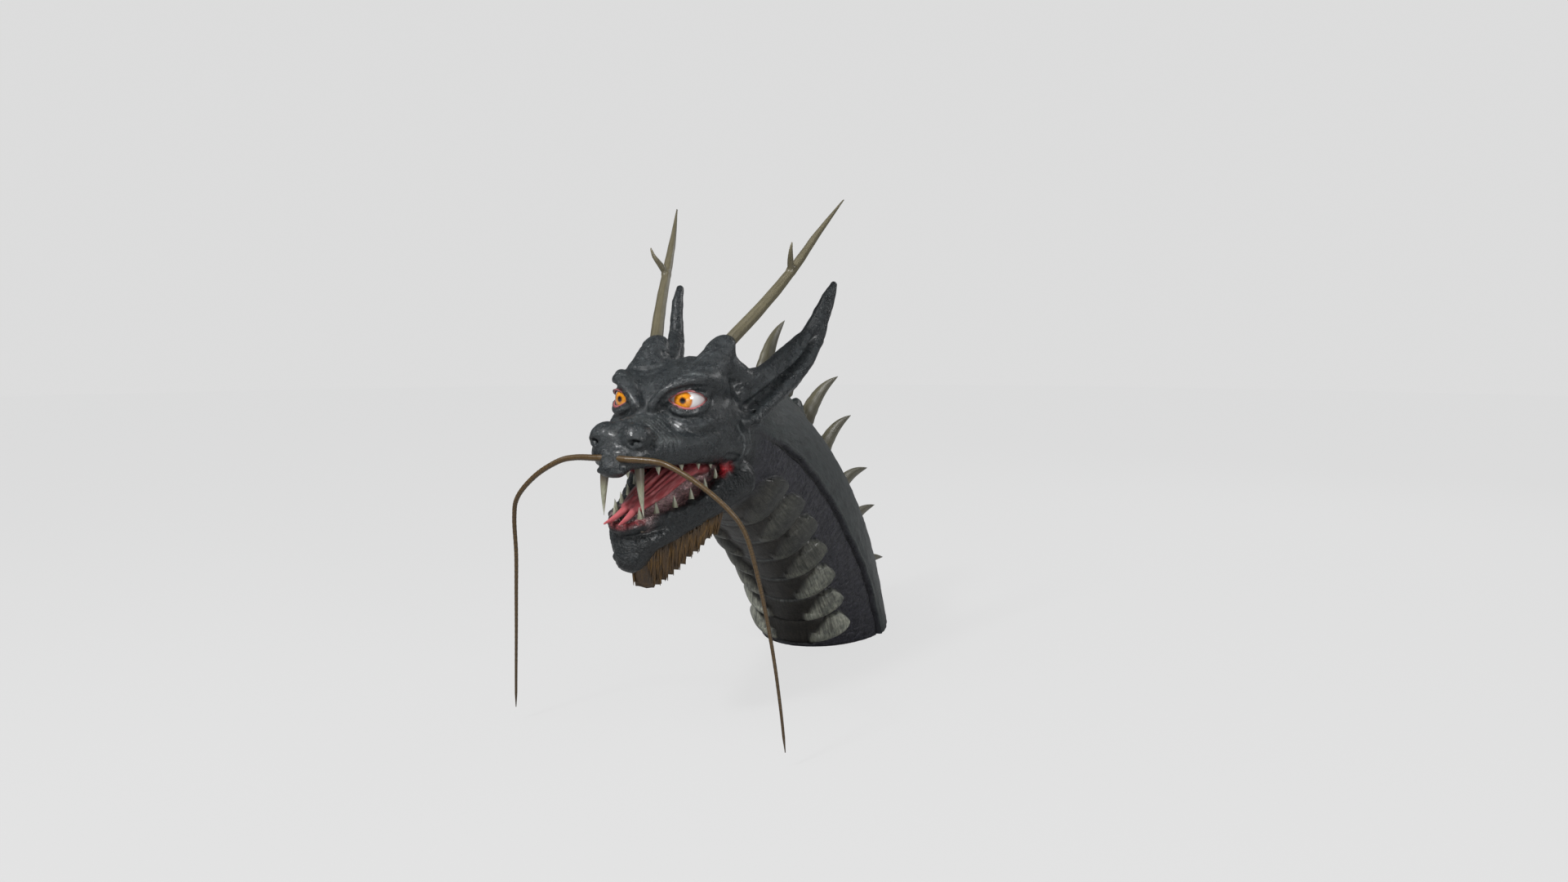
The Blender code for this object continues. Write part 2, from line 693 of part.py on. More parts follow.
def add_whiskers():
    path = [
        (0.12, -1.98, -1.48),
        (0.19, -2.18, -1.48),
        (0.45, -2.26, -1.49),
        (1.26, -2.10, -1.53),
        (1.84, -2.11, -1.67),
        (2.68, -2.04, -2.13),
        (3.44, -1.86, -2.79),
        (3.78, -1.61, -3.45),
        (3.98, -1.31, -4.63),
        (4.16, -1.12, -5.83),
        (4.31, -0.97, -7.04),
        (4.44, -0.86, -8.33),
        (4.54, -0.78, -9.54),
    ]
    run = smooth_run(path, 27)
    taper = np.interp(np.linspace(0, 1, len(run)), [0, 0.45, 0.97, 1], [1.0, 0.72, 0.4, 0.12])
    rows = metres([(*q, r * WHISKER_RADIUS) for q, r in zip(run, taper)])
    mesh = tapered("whisker_left", rows, WHISKER_SIDES, 1.0, Vector((0, 1, 0)))
    return add_pair("whisker", mesh, whisker_material())


def add_spines():
    made = []
    for k, (y, z, tip_y, tip_z) in enumerate(SPINES):
        root = np.array((0, y, z))
        tip = np.array((0, tip_y, tip_z))
        way = (tip - root) / np.linalg.norm(tip - root)
        lift = np.array((0, -way[2], way[1]))
        start = root - way * share(LET_IN)
        rows = []
        for t in np.linspace(0, 1, 6):
            middle = start + (tip - start) * t + lift * 0.30 * np.sin(np.pi * t)
            rows.append((*middle, max(SPINE_RADIUS * (1 - t) ** 0.8, TIP_RADIUS)))
        mesh = tapered(f"spine_{k + 1}", metres(rows), 7, SPINE_THICKNESS)
        made.append(add_object(f"spine_{k + 1}", mesh, horn_material()))
    return made


def tooth_mesh(name, gum, way, length, radius):
    """A pointed tooth, let into the gum; gum and way are in units, length and radius in metres."""
    gum = np.array(gum, float)
    way = np.array(way, float) / np.linalg.norm(way)
    rows = []
    for t in (0, TOOTH_WAIST, 1):
        reach = -share(LET_IN) + t * share(LET_IN + length)
        rows.append((*(gum + way * reach), max(radius * (1 - t**1.6), TIP_RADIUS)))
    return tapered(name, metres(rows), 5, 0.75, Vector((0, 1, 0)))


def add_fangs():
    root, tip = np.array((0.56, -1.66, -1.80)), np.array((0.65, -1.63, -3.18))
    mesh = tooth_mesh("fang_left", root, tip - root, np.linalg.norm(tip - root) * UNIT, FANG_RADIUS)
    return add_pair("fang", mesh, tooth_material())


def add_upper_teeth():
    made = []
    gums = [(0.30, -1.86, -1.74), (0.82, -1.1, -1.72), (1.05, -0.2, -1.74)]
    gums += [(1.16, 0.6, -1.78), (1.24, 1.2, -1.84)]
    for k, gum in enumerate(smooth_run(gums, UPPER_TEETH)):
        name = f"upper_tooth_{k + 1}"
        length = UPPER_TOOTH_LENGTH * np.interp(k / max(UPPER_TEETH - 1, 1), [0, 1], [1.1, 0.8])
        mesh = tooth_mesh(name, gum, (0.05, -0.05, -1), length, TOOTH_RADIUS)
        made += add_pair(name, mesh, tooth_material())
    return made


def add_lower_teeth():
    made = []
    gums = [(0.40, -1.46, -3.36), (0.66, -1.0, -3.2), (0.86, -0.35, -3.02)]
    gums += [(1.02, 0.3, -2.84), (1.16, 0.9, -2.6), (1.28, 1.35, -2.36)]
    for k, gum in enumerate(smooth_run(gums, LOWER_TEETH)):
        name = f"lower_tooth_{k + 1}"
        mesh = tooth_mesh(name, gum, (0.03, -0.1, 1), LOWER_TOOTH_LENGTH, TOOTH_RADIUS)
        made += add_pair(name, mesh, tooth_material())
    return made


def tongue_section(middle, across, thick):
    """One ring of the tongue, with a groove along its top."""
    ring = []
    for n in range(TONGUE_SIDES):
        angle = 2 * np.pi * n / TONGUE_SIDES
        x = np.cos(angle) * across
        z = np.sin(angle) * thick
        if z > 0:
            z -= TONGUE_GROOVE * thick * np.exp(-((x / (0.35 * across)) ** 2))
        ring.append(place(middle) + Vector((x, 0, z)))
    return ring


def add_tongue():
    line = [(0, 2.3, -2.3), (0, 1.5, -2.12), (0, 0.6, -2.32), (0, -0.4, -2.68), (0, -1.15, -2.98)]
    path = smooth_run(line, 8)
    widths = np.interp(np.linspace(0, 1, len(path)), [0, 0.3, 0.7, 1], [0.9, 1.0, 0.8, 0.5])
    bm = bmesh.new()
    rings = []
    for middle, w in zip(path, widths):
        ring = tongue_section(middle, w * TONGUE_WIDTH / 2, (0.5 + 0.5 * w) * TONGUE_THICKNESS / 2)
        rings.append([bm.verts.new(q) for q in ring])
    tongue = add_object("tongue", tube_mesh("tongue", bm, rings), tongue_material())
    prong = smooth_run(
        [
            (0.10, -0.85, -2.90, 0.56),
            (0.16, -1.35, -3.05, 0.30),
            (0.20, -1.80, -3.20, 0.19),
            (0.24, -2.25, -3.30, 0.07),
        ],
        5,
    )
    rows = metres([(*row[:3], row[3] * TONGUE_THICKNESS) for row in prong])
    mesh = tapered("prong", rows, 6, 0.9)
    for piece in add_pair("prong", mesh, tongue_material()):
        joined(tongue, piece)
    return [tongue]


def add_beard():
    """A thick fringe under the jaw, cut into pointed locks below."""
    path = [(0.18, -0.92, -4.42), (0.56, -0.45, -4.1), (0.9, 0.1, -3.85)]
    path += [(1.1, 1.0, -3.6), (1.25, 2.0, -3.35)]
    reach = sum(np.linalg.norm(np.subtract(b, a)) for a, b in zip(path[:-1], path[1:]))
    locks = max(3, round(reach * UNIT / BEARD_TUFT))
    top = smooth_run(path, 2 * locks + 1)
    places = np.linspace(0, 1, len(top))
    shares = np.interp(places, [0, 0.05, 0.12, 0.5, 0.8, 1], [0.1, 0.6, 1.06, 0.98, 0.8, 0.72])
    bm = bmesh.new()
    rings = []
    for k, (width, y, z) in enumerate(top):
        drop = share(BEARD_LENGTH) * shares[k] * (1 if k % 2 else LOCK_SHARE)
        rings.append([])
        for x, down, back in BEARD_SECTION:
            fall = drop * down if down > 0 else down * BEARD_ROOT
            rings[-1].append(bm.verts.new(place((width * x, y + back * drop, z - fall))))
    return [add_object("beard", tube_mesh("beard", bm, rings), beard_material())]


def grown(obj, gap):
    """A copy of a fitted piece, larger by the gap all round."""
    bm = bmesh.new()
    bm.from_mesh(obj.data)
    bm.normal_update()
    moves = [v.normal * gap * v.calc_shell_factor() for v in bm.verts]
    for vert, move in zip(bm.verts, moves):
        vert.co += move
    mesh = bpy.data.meshes.new(obj.name + "_room")
    bm.to_mesh(mesh)
    bm.free()
    return mesh


def cut_sockets(body, pieces):
    """Cuts the room for every fitted piece out of the carved body."""
    bm = bmesh.new()
    for piece in pieces:
        room = grown(piece, CLEARANCE)
        bm.from_mesh(room)
        bpy.data.meshes.remove(room)
    rooms = add_object("sockets", mesh_of("sockets", bm), skin_material())
    rooms.hide_render = True
    rooms.display_type = "WIRE"
    cut = body.modifiers.new("Sockets", "BOOLEAN")
    cut.operation = "DIFFERENCE"
    cut.object = rooms
    applied(body)


def largest_body(obj):
    """Keeps only the largest connected shell."""
    bm = bmesh.new()
    bm.from_mesh(obj.data)
    left = set(bm.verts)
    shells = []
    while left:
        stack = [left.pop()]
        shell = set(stack)
        while stack:
            for edge in stack.pop().link_edges:
                for vert in edge.verts:
                    if vert not in shell:
                        shell.add(vert)
                        stack.append(vert)
        left -= shell
        shells.append(shell)
    shells.sort(key=len)
    for shell in shells[:-1]:
        bmesh.ops.delete(bm, geom=list(shell), context="VERTS")
    bm.to_mesh(obj.data)
    bm.free()


def add_body():
    points, faces = skin(body_form, (-3.5, -3.0, -10.6), (3.5, 18.4, 4.3), share(SKIN_CELL))
    mesh = bpy.data.meshes.new("head_neck")
    mesh.from_pydata([place(q) for q in points], [], faces.tolist())
    body = add_object("head_neck", mesh, skin_material())
    largest_body(body)
    flat = body.modifiers.new("Fewer faces", "DECIMATE")
    flat.ratio = SKIN_TRIANGLES / (2 * len(body.data.polygons))
    return applied(body)


def main():
    for obj in list(bpy.data.objects):
        bpy.data.objects.remove(obj)
    body = add_body()
    pieces = add_antlers() + add_eyes() + add_whiskers() + add_spines() + add_fangs()
    pieces += add_upper_teeth() + add_lower_teeth() + add_tongue() + add_beard()
    cut_sockets(body, pieces)
    largest_body(body)


main()
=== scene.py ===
# Dresses the carved dragon's head: the fine carving, the fitted pieces, their finishes, floor, light and camera.
import bmesh
import bpy
import numpy as np
from mathutils import Matrix, Vector, noise


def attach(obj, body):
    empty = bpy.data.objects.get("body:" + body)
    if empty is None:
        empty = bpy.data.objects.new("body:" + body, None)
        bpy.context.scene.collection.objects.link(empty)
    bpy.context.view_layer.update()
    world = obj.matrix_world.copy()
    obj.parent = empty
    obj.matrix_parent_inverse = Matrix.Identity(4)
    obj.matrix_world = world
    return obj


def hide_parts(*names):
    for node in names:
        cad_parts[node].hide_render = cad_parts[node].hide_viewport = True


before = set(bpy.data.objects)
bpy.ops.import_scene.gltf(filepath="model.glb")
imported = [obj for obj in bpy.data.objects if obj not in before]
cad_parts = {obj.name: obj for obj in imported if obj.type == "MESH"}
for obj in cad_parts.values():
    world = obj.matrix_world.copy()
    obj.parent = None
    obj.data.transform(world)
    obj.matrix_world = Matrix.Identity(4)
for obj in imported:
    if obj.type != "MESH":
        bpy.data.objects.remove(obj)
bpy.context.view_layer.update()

# Sizes that the whole carving shares: metres, or units of half the way between the pupils
carving = {
    "height": 0.5893,
    "unitsHigh": 16.37,
    "gaze": (0.0, -13.4, 10.0),  # midway between the pupils, from the middle of the neck's cut
    "cell": 0.00155,  # grid of the fine skin
    "quickCell": 0.0024,
    "triangles": 188000,
    "body": "root",
}
unit = carving["height"] / carving["unitsHigh"]
gaze = np.array(carving["gaze"])


def place(point):
    # a point in units from between the pupils, in metres from the neck's cut
    return Vector((np.array(point, float) + gaze) * unit)


def placeAll(points):
    return (np.asarray(points, float) + gaze) * unit


def share(length):
    return length / unit


# What is cut: lines in units from between the pupils

neckCut = {
    # y, z, half depth, half width from the cut to the skull
    "line": [
        (14.55, -12.2, 3.15, 2.52),
        (13.67, -10.0, 3.20, 2.50),
        (12.50, -7.4, 3.12, 2.38),
        (10.78, -5.3, 3.02, 2.26),
        (8.60, -3.55, 2.85, 2.16),
        (6.10, -2.2, 2.55, 2.08),
        (3.90, -1.4, 2.10, 1.95),
        (2.60, -1.05, 1.60, 1.65),
    ],
    "seam": [(0.0, -0.10), (3.0, -0.15), (8.0, -0.18), (11.0, -0.12), (14.0, -0.03), (16.5, 0.04)],
    "seamDepth": 0.0042,
    "scutes": 8,
    "scutePitch": 1.65,
    "scuteStart": 2.25,
    "scuteRelief": 0.0115,
    "scuteEnds": [(4.4, -0.66), (7.5, -0.65), (9.0, -0.60), (10.6, -0.54), (12.0, -0.46), (14.2, -0.42)],
}
spineCut = {
    # root y, root z, tip y, tip z
    "places": [
        (7.60, 0.45, 9.43, 2.45),
        (9.50, -0.20, 11.30, 1.60),
        (11.35, -1.45, 14.89, 0.23),
        (12.90, -2.95, 16.46, -1.49),
        (14.20, -4.80, 18.61, -4.00),
        (15.25, -6.60, 19.67, -5.84),
        (16.10, -8.50, 20.92, -8.52),
    ],
    "radius": 0.0178,
    "flat": 0.62,
    "letIn": 0.009,
    "sides": 18,
    "rings": 26,
}
headCut = {
    "lipWall": [
        (0.10, -1.98, -1.50, 0.36),
        (0.50, -1.68, -1.43, 0.40),
        (0.90, -0.90, -1.38, 0.44),
        (1.18, 0.10, -1.36, 0.47),
        (1.34, 1.20, -1.38, 0.50),
        (1.40, 2.20, -1.42, 0.60),
    ],
    "jawArm": [
        (0.00, -1.28, -3.98, 0.42),
        (0.28, -1.10, -3.92, 0.44),
        (0.74, -0.48, -3.64, 0.39),
        (1.08, 0.50, -3.32, 0.36),
        (1.36, 1.50, -2.94, 0.46),
        (1.50, 2.30, -2.50, 0.64),
    ],
    "lowerLip": [
        (0.00, -1.70, -3.54, 0.16),
        (0.26, -1.60, -3.50, 0.17),
        (0.66, -1.08, -3.35, 0.18),
        (1.04, -0.10, -3.22, 0.19),
        (1.36, 0.90, -2.86, 0.20),
        (1.56, 1.55, -2.36, 0.20),
    ],
    "mouthFloor": [
        (0, -1.2, -3.30, 0.30), (0, -0.2, -3.08, 0.40), (0, 1.0, -2.72, 0.46), (0, 2.0, -2.25, 0.5)
    ],
}
eyeCut = {
    "centre": (0.90, 0.42, 0.0),
    "middle": (1.13, 0.09, 0.02),
    "alongWay": (0.819, 0.574),
    "halfLength": 0.57,
    "halfHeight": 0.25,
    "radius": 0.0205,
    "gazeWay": (0.27, -0.96, 0.0),
}

# How a form is worked out: distances in units, negative inside


def ramp(low, high, value):
    t = np.clip((value - low) / (high - low), 0, 1)
    return t * t * (3 - 2 * t)


def blend(a, b, width):
    h = np.clip(0.5 + 0.5 * (b - a) / width, 0, 1)
    return b + (a - b) * h - width * h * (1 - h)


def carve(body, tool, width):
    return -blend(-body, tool, width)


def ball(p, centre, radii, pitch=0.0):
    q = p - np.array(centre, np.float32)
    if pitch:
        c, s = np.cos(np.radians(pitch)), np.sin(np.radians(pitch))
        q = np.stack([q[:, 0], q[:, 1] * c + q[:, 2] * s, -q[:, 1] * s + q[:, 2] * c], 1)
    r = np.array(radii, np.float32)
    q = q / r
    k0 = np.sqrt((q * q).sum(1)) + 1e-6
    k1 = np.sqrt(((q / r) ** 2).sum(1)) + 1e-6
    return k0 * (k0 - 1) / k1


def smoothRun(points, count):
    # Count points on a smooth run through the given ones.
    pts = np.array(points, float)
    ext = np.vstack([2 * pts[0] - pts[1], pts, 2 * pts[-1] - pts[-2]])
    t = np.linspace(0, len(pts) - 1, count)
    i = np.minimum(t.astype(int), len(pts) - 2)
    f = (t - i)[:, None]
    a, b, c, d = ext[i], ext[i + 1], ext[i + 2], ext[i + 3]
    bend = (2 * a - 5 * b + 4 * c - d) * f**2 + (3 * b - a - 3 * c + d) * f**3
    return 0.5 * (2 * b + (c - a) * f + bend)


def nearestOn(p, a, b):
    # The share along a to b nearest to each point, and the way from there to the point.
    run = (b - a).astype(np.float32)
    away = p - a.astype(np.float32)
    t = np.clip(away @ run / max(float(run @ run), 1e-9), 0, 1)
    return t, away - t[:, None] * run


def limb(p, points, count=0, wide=1.0):
    # A round limb through (x, y, z, radius) points; wide stretches it along x.
    run = smoothRun(points, count) if count else np.array(points, float)
    scale = np.array((1 / wide, 1, 1), np.float32)
    q = p * scale
    line = run[:, :3] * scale
    best = np.full(len(p), 1e3, np.float32)
    for k in range(len(run) - 1):
        t, away = nearestOn(q, line[k], line[k + 1])
        radius = run[k, 3] + (run[k + 1, 3] - run[k, 3]) * t
        best = np.minimum(best, np.sqrt((away * away).sum(1)) - radius)
    return best


def stroke(p, body, points, width, height, count=0):
    # Raises the skin along a line, or cuts a groove where the height is negative.
    run = smoothRun(points, count) if count else np.array(points, float)
    low, high = run.min(0) - width, run.max(0) + width
    near = np.flatnonzero(((p > low) & (p < high)).all(1) & (np.abs(body) < 1))
    if not len(near):
        return body
    best = np.full(len(near), 1e3, np.float32)
    reach = np.zeros(len(near), np.float32)
    for k in range(len(run) - 1):
        t, away = nearestOn(p[near], run[k], run[k + 1])
        miss = (away * away).sum(1) / width**2
        reach = np.where(miss < best, (k + t) / (len(run) - 1), reach)
        best = np.minimum(best, miss)
    taper = np.clip(5 * np.minimum(reach, 1 - reach), 0, 1) ** 0.7
    body = body.copy()
    body[near] -= height * taper * np.clip(1 - best, 0, 1) ** 2
    return body


def within(p, form, low, high):
    # works a form out only near its own box
    value = np.full(len(p), 9.0, np.float32)
    near = ((p > np.array(low, np.float32)) & (p < np.array(high, np.float32))).all(1)
    if near.any():
        value[near] = form(p[near])
    return value

def stud(p, body, centre, radii, width):
    # a small ball blended into the body, worked out only near its place
    middle = np.array(centre)
    return blend(body, within(p, lambda q: ball(q, centre, radii), middle - 0.5, middle + 0.5), width)


# The neck: belly scutes, side band, back and the ridge under the spines


def neckPlace(p):
    # Along the neck from its cut, across it towards the nape, its half depth and width, and past its end.
    run = smoothRun(neckCut["line"], 25)
    best = np.full(len(p), 1e9, np.float32)
    found = np.zeros((5, len(p)), np.float32)
    total = 0.0
    for k, (a, b) in enumerate(zip(run[:-1], run[1:])):
        length = np.linalg.norm(b[:2] - a[:2])
        way = ((b[:2] - a[:2]) / length).astype(np.float32)
        off = p[:, 1:] - a[:2].astype(np.float32)
        reach = off @ way
        held = np.clip(reach, 0, length)
        across = off[:, 0] * way[1] - off[:, 1] * way[0]
        miss = (reach - held) ** 2 + across**2
        t = held / length
        depth = a[2] + (b[2] - a[2]) * t
        width = a[3] + (b[3] - a[3]) * t
        past = reach - held
        joint = ((past < 0) & (k > 0)) | ((past > 0) & (k < len(run) - 2))
        across = np.where(joint, np.sign(across) * np.hypot(across, past), across)
        here = np.stack([total + held, across, depth, width, np.where(joint, 0, past)])
        take = miss < best
        best = np.where(take, miss, best)
        found = np.where(take, here, found)
        total += length
    return found


def neckForm(p, spot):
    along, across, depth, width, past = spot
    width = width * (1 - 0.14 * np.clip(across / depth, 0, 1))
    roundShare = np.sqrt((p[:, 0] / width) ** 2 + (across / depth) ** 2)
    d = (roundShare - 1) * np.minimum(width, depth)
    return np.where(np.abs(past) > 1e-4, np.hypot(np.maximum(d, 0), past) + np.minimum(d, 0), d)


def scutePlace(spot, x):
    # how far inside a scute a point lies, the swell of the scute, and where its end and the seam are
    along, across, depth, width, _ = spot
    turn = across / depth
    belly = np.clip(np.abs(x) / width, 0, 1)
    step = (along - neckCut["scuteStart"] - 0.25 * belly**4) / neckCut["scutePitch"]
    part = np.clip(step - np.floor(step), 0.001, 0.999)
    dome = np.sin(np.pi * part**0.6) ** 0.7
    ends = neckCut["scuteEnds"]
    end = np.interp(along, [e[0] for e in ends], [e[1] for e in ends]) + 0.17 * (dome - 1)
    rows = ramp(0.94, 0.99, step) * ramp(neckCut["scutes"] + 0.1, neckCut["scutes"] - 0.3, step)
    inside = ramp(end + 0.04, end - 0.06, turn) * rows
    # each scute ends in a swollen lobe, whose upper edge runs down to a point towards the belly
    outer = np.clip((belly - 0.22) / 0.48, 0, 1)
    top = 0.10 + 0.88 * outer**0.8
    lobe = ramp(top + 0.05, top - 0.08, part) * ramp(0.0, 0.2, outer)
    swell = np.sin(np.pi * np.clip(part / top, 0.001, 0.999) ** 0.65) ** 0.55 * outer**0.5
    seam = np.interp(along, [s[0] for s in neckCut["seam"]], [s[1] for s in neckCut["seam"]])
    seam = seam + 0.006 * np.sin(4.3 * along)
    return inside, dome, part, belly, lobe, swell, turn - end, (turn - seam) * depth


def neckRelief(spot, x):
    inside, dome, part, belly, lobe, swell, _, pastSeam = scutePlace(spot, x)
    rise = share(neckCut["scuteRelief"])
    height = inside * rise * (0.22 * dome * (0.6 + ramp(0.2, 0.7, belly)) + 0.78 * lobe * swell - 0.1)
    # a narrow crease under each scute's lip
    height -= inside * 0.035 * np.exp(-(((part - 0.985) / 0.035) ** 2))
    lap = ramp(-0.05, 0.05, pastSeam) * ramp(1.4, 0.1, pastSeam) * 0.5 * share(neckCut["seamDepth"])
    lap = lap + 0.05 * np.exp(-(((pastSeam - 0.10) / 0.07) ** 2))
    groove = np.exp(-(((pastSeam + 0.06) / 0.058) ** 2)) * 1.15 * share(neckCut["seamDepth"])
    return height + (lap - groove) * ramp(16.2, 14.5, spot[0])


def crestForm(p):
    # The low ridge that the spines stand on, with a hump between each two.
    line = [
        (0, 4.2, 0.10, 0.50),
        (0, 6.4, 0.15, 0.46),
        (0, 8.5, -0.35, 0.44),
        (0, 10.5, -1.50, 0.42),
        (0, 12.3, -2.95, 0.42),
        (0, 13.9, -4.80, 0.40),
        (0, 15.3, -6.90, 0.38),
        (0, 16.4, -9.20, 0.36),
        (0, 17.3, -11.60, 0.36),
    ]
    crest = limb(p, [(*row[:3], row[3] - 0.10) for row in line], 22)
    for k, (y, z, _, _) in enumerate(spineCut["places"][:-1]):
        y2, z2 = spineCut["places"][k + 1][:2]
        crest = blend(crest, ball(p, (0, (y + y2) / 2, (z + z2) / 2 + 0.02), (0.26, 0.36, 0.36)), 0.3)
    return crest


# The head


def skullForm(p):
    skull = ball(p, (0, 2.1, -0.6), (1.66, 2.5, 1.62))
    skull = blend(skull, ball(p, (0, 3.5, -0.9), (1.8, 2.0, 1.6)), 0.5)
    skull = blend(skull, ball(p, (1.02, 1.3, -0.95), (0.78, 1.5, 0.95)), 0.4)
    skull = blend(skull, ball(p, (0, 2.35, 0.35), (1.0, 1.1, 0.86)), 0.3)
    skull = blend(
        skull, limb(p, [(1.25, 2.4, 0.84, 0.42), (1.42, 3.0, 0.50, 0.40), (1.60, 3.7, 0.42, 0.34)], 5), 0.3
    )
    bridge = limb(p, [(0, -1.45, -0.98, 0.50), (0, -0.6, -1.02, 0.62), (0, 0.5, -1.1, 0.85)], 6, 1.25)
    skull = blend(skull, bridge, 0.3)
    wall = limb(p, headCut["lipWall"], 14)
    skull = blend(skull, wall, 0.3)
    skull = blend(skull, ball(p, (0, 0.3, -1.3), (1.05, 2.1, 0.5)), 0.3)
    return carve(skull, ball(p, (0, 0.2, -2.2), (0.85, 2.0, 0.62)), 0.15)


creases = {
    # a line on the skin, its width, and how high it is raised, or cut where below nought
    "crown": ([(-0.7, 1.28, 1.09), (-0.59, 1.78, 1.16), (0, 1.99, 1.17)], 0.16, 0.05),
    "knobFold": (
        [(0.48, 1.21, 0.94), (1.09, 0.95, 0.88), (1.43, 1.15, 0.80), (1.52, 1.93, 0.80)], 0.15, 0.08
    ),
    "knobCut": ([(0.45, 1.0, 0.85), (1.1, 0.75, 0.80), (1.5, 1.1, 0.70), (1.6, 1.95, 0.66)], 0.13, -0.05),
    "browTop": (
        [(0.16, 0.2, 0.44), (0.5, 0.12, 0.62), (0.96, -0.02, 0.72), (1.32, 0.12, 0.75), (1.58, 0.6, 0.66)],
        0.12, -0.045
    ),
    "browEdge": (
        [(0.38, -0.52, 0.05), (0.6, -0.42, 0.27), (0.9, -0.28, 0.44), (1.28, 0.02, 0.58), (1.6, 0.55, 0.56)],
        0.13, 0.05
    ),
    "socket": (
        [
            (0.52, -0.42, 0.0), (0.72, -0.36, 0.17), (0.98, -0.2, 0.30), (1.3, 0.08, 0.36),
            (1.56, 0.5, 0.30), (1.66, 1.1, 0.2)
        ],
        0.15, -0.12
    ),
    "innerCut": ([(0.42, -0.45, -0.18), (0.52, -0.40, 0.0), (0.62, -0.36, 0.12)], 0.12, -0.09),
    "bagUpper": (
        [
            (0.58, -0.25, -0.16), (0.84, -0.23, -0.30), (1.07, -0.17, -0.37), (1.35, 0.02, -0.37),
            (1.56, 0.34, -0.24), (1.66, 0.66, -0.1)
        ],
        0.10, 0.06
    ),
    "bagCut": (
        [
            (0.55, -0.27, -0.32), (0.86, -0.22, -0.46), (1.15, -0.1, -0.50), (1.46, 0.16, -0.44),
            (1.62, 0.6, -0.28)
        ],
        0.10, -0.06
    ),
    "bagLower": (
        [
            (0.61, -0.28, -0.45), (0.93, -0.2, -0.58), (1.25, -0.02, -0.60), (1.52, 0.26, -0.53),
            (1.66, 0.64, -0.38)
        ],
        0.11, 0.04
    ),
    "cheekCut": (
        [
            (0.95, -0.32, -0.70), (1.41, -0.1, -0.86), (1.62, 0.25, -0.84), (1.75, 0.62, -0.68),
            (1.78, 0.95, -0.5)
        ],
        0.13, -0.06
    ),
    "templeCut": ([(1.66, 0.9, 0.1), (1.74, 1.3, -0.1), (1.78, 1.8, -0.25)], 0.13, -0.05),
    "lobeBack": (
        [
            (0.40, -1.10, -0.58), (0.66, -1.22, -0.66), (0.92, -1.42, -0.82), (0.97, -1.50, -1.08),
            (0.90, -1.66, -1.30)
        ],
        0.16, -0.09
    ),
    "radiateA": (
        [
            (1.82, 2.17, -0.68), (1.90, 2.49, -1.01), (1.97, 2.38, -1.35), (1.94, 2.22, -1.69),
            (1.87, 2.06, -2.04)
        ],
        0.08, 0.022
    ),
    "radiateB": (
        [(1.83, 1.82, -0.86), (1.94, 1.99, -1.17), (1.97, 1.98, -1.47), (1.84, 2.05, -1.84)], 0.08, 0.02
    ),
    "radiateC": (
        [(1.90, 2.77, -0.93), (1.90, 2.90, -1.25), (1.90, 2.80, -1.67), (1.95, 2.45, -2.02)], 0.08, 0.02
    ),
    "cornerCut": (
        [(1.72, 1.10, -1.64), (1.83, 1.59, -1.72), (1.86, 1.95, -1.86), (1.86, 2.07, -2.02)], 0.12, -0.11
    ),
    "padRim": (
        [
            (1.74, 1.93, -2.05), (1.95, 2.05, -2.13), (2.08, 2.20, -2.39), (2.10, 2.32, -2.65),
            (2.02, 2.48, -2.92)
        ],
        0.10, 0.05
    ),
    "padCut": ([(1.9, 2.3, -2.05), (2.06, 2.45, -2.3), (2.1, 2.60, -2.65), (2.0, 2.72, -3.0)], 0.12, -0.07),
    "lipEdge": (
        [
            (0.45, -2.2, -1.88), (0.85, -1.8, -1.80), (1.12, -1.3, -1.72), (1.33, -0.4, -1.70),
            (1.50, 0.5, -1.76), (1.62, 1.1, -1.84)
        ],
        0.12, 0.05
    ),
    "lipCut": (
        [(0.30, -2.32, -1.68), (0.55, -2.15, -1.66), (0.85, -1.82, -1.60), (1.08, -1.35, -1.54)], 0.12, -0.09
    ),
    "lipRoll": ([(0.22, -2.45, -1.86), (0.52, -2.22, -1.86), (0.80, -1.92, -1.84)], 0.12, 0.05),
    "chinCut": ([(0.05, -1.92, -3.80), (0.30, -1.80, -3.84), (0.55, -1.45, -3.74)], 0.12, -0.035),
    "chinFold": ([(0.34, -1.75, -3.8), (0.40, -1.70, -4.2), (0.46, -1.45, -4.55)], 0.12, 0.05),
    "jawFold": ([(0.75, -0.9, -4.0), (1.05, 0.0, -3.75), (1.3, 1.0, -3.5), (1.55, 2.0, -3.25)], 0.14, 0.04),
    "lobeCut": (
        [(1.62, 2.2, -0.32), (1.80, 2.5, -0.45), (1.95, 2.95, -0.50), (2.05, 3.5, -0.30)], 0.12, -0.10
    ),
}


def noseForm(p, skull):
    skull = blend(skull, ball(p, (0.47, -1.68, -0.96), (0.48, 0.47, 0.43)), 0.08)
    skull = blend(skull, ball(p, (0, -1.72, -1.08), (0.3, 0.42, 0.42)), 0.10)
    skull = blend(skull, ball(p, (0, -2.12, -1.78), (0.44, 0.34, 0.27)), 0.15)
    # a slit nostril with a rim and a small swell inside
    skull = carve(skull, ball(p, (0.66, -2.10, -1.06), (0.17, 0.20, 0.11)), 0.05)
    skull = blend(skull, ball(p, (0.67, -2.00, -1.08), (0.085, 0.08, 0.06)), 0.03)
    skull = stroke(
        p, skull, [(0.48, -2.10, -0.96), (0.64, -2.08, -0.90), (0.80, -1.98, -0.95), (0.86, -1.88, -1.05)],
        0.10, 0.06, 10
    )
    skull = stroke(
        p, skull, [(0.46, -2.10, -1.12), (0.62, -2.08, -1.20), (0.78, -1.98, -1.17), (0.86, -1.88, -1.07)],
        0.09, 0.045, 10
    )
    return stroke(p, skull, [(0.0, -1.9, -0.55), (0.0, -2.1, -0.85), (0.0, -2.16, -1.1)], 0.16, -0.08, 6)


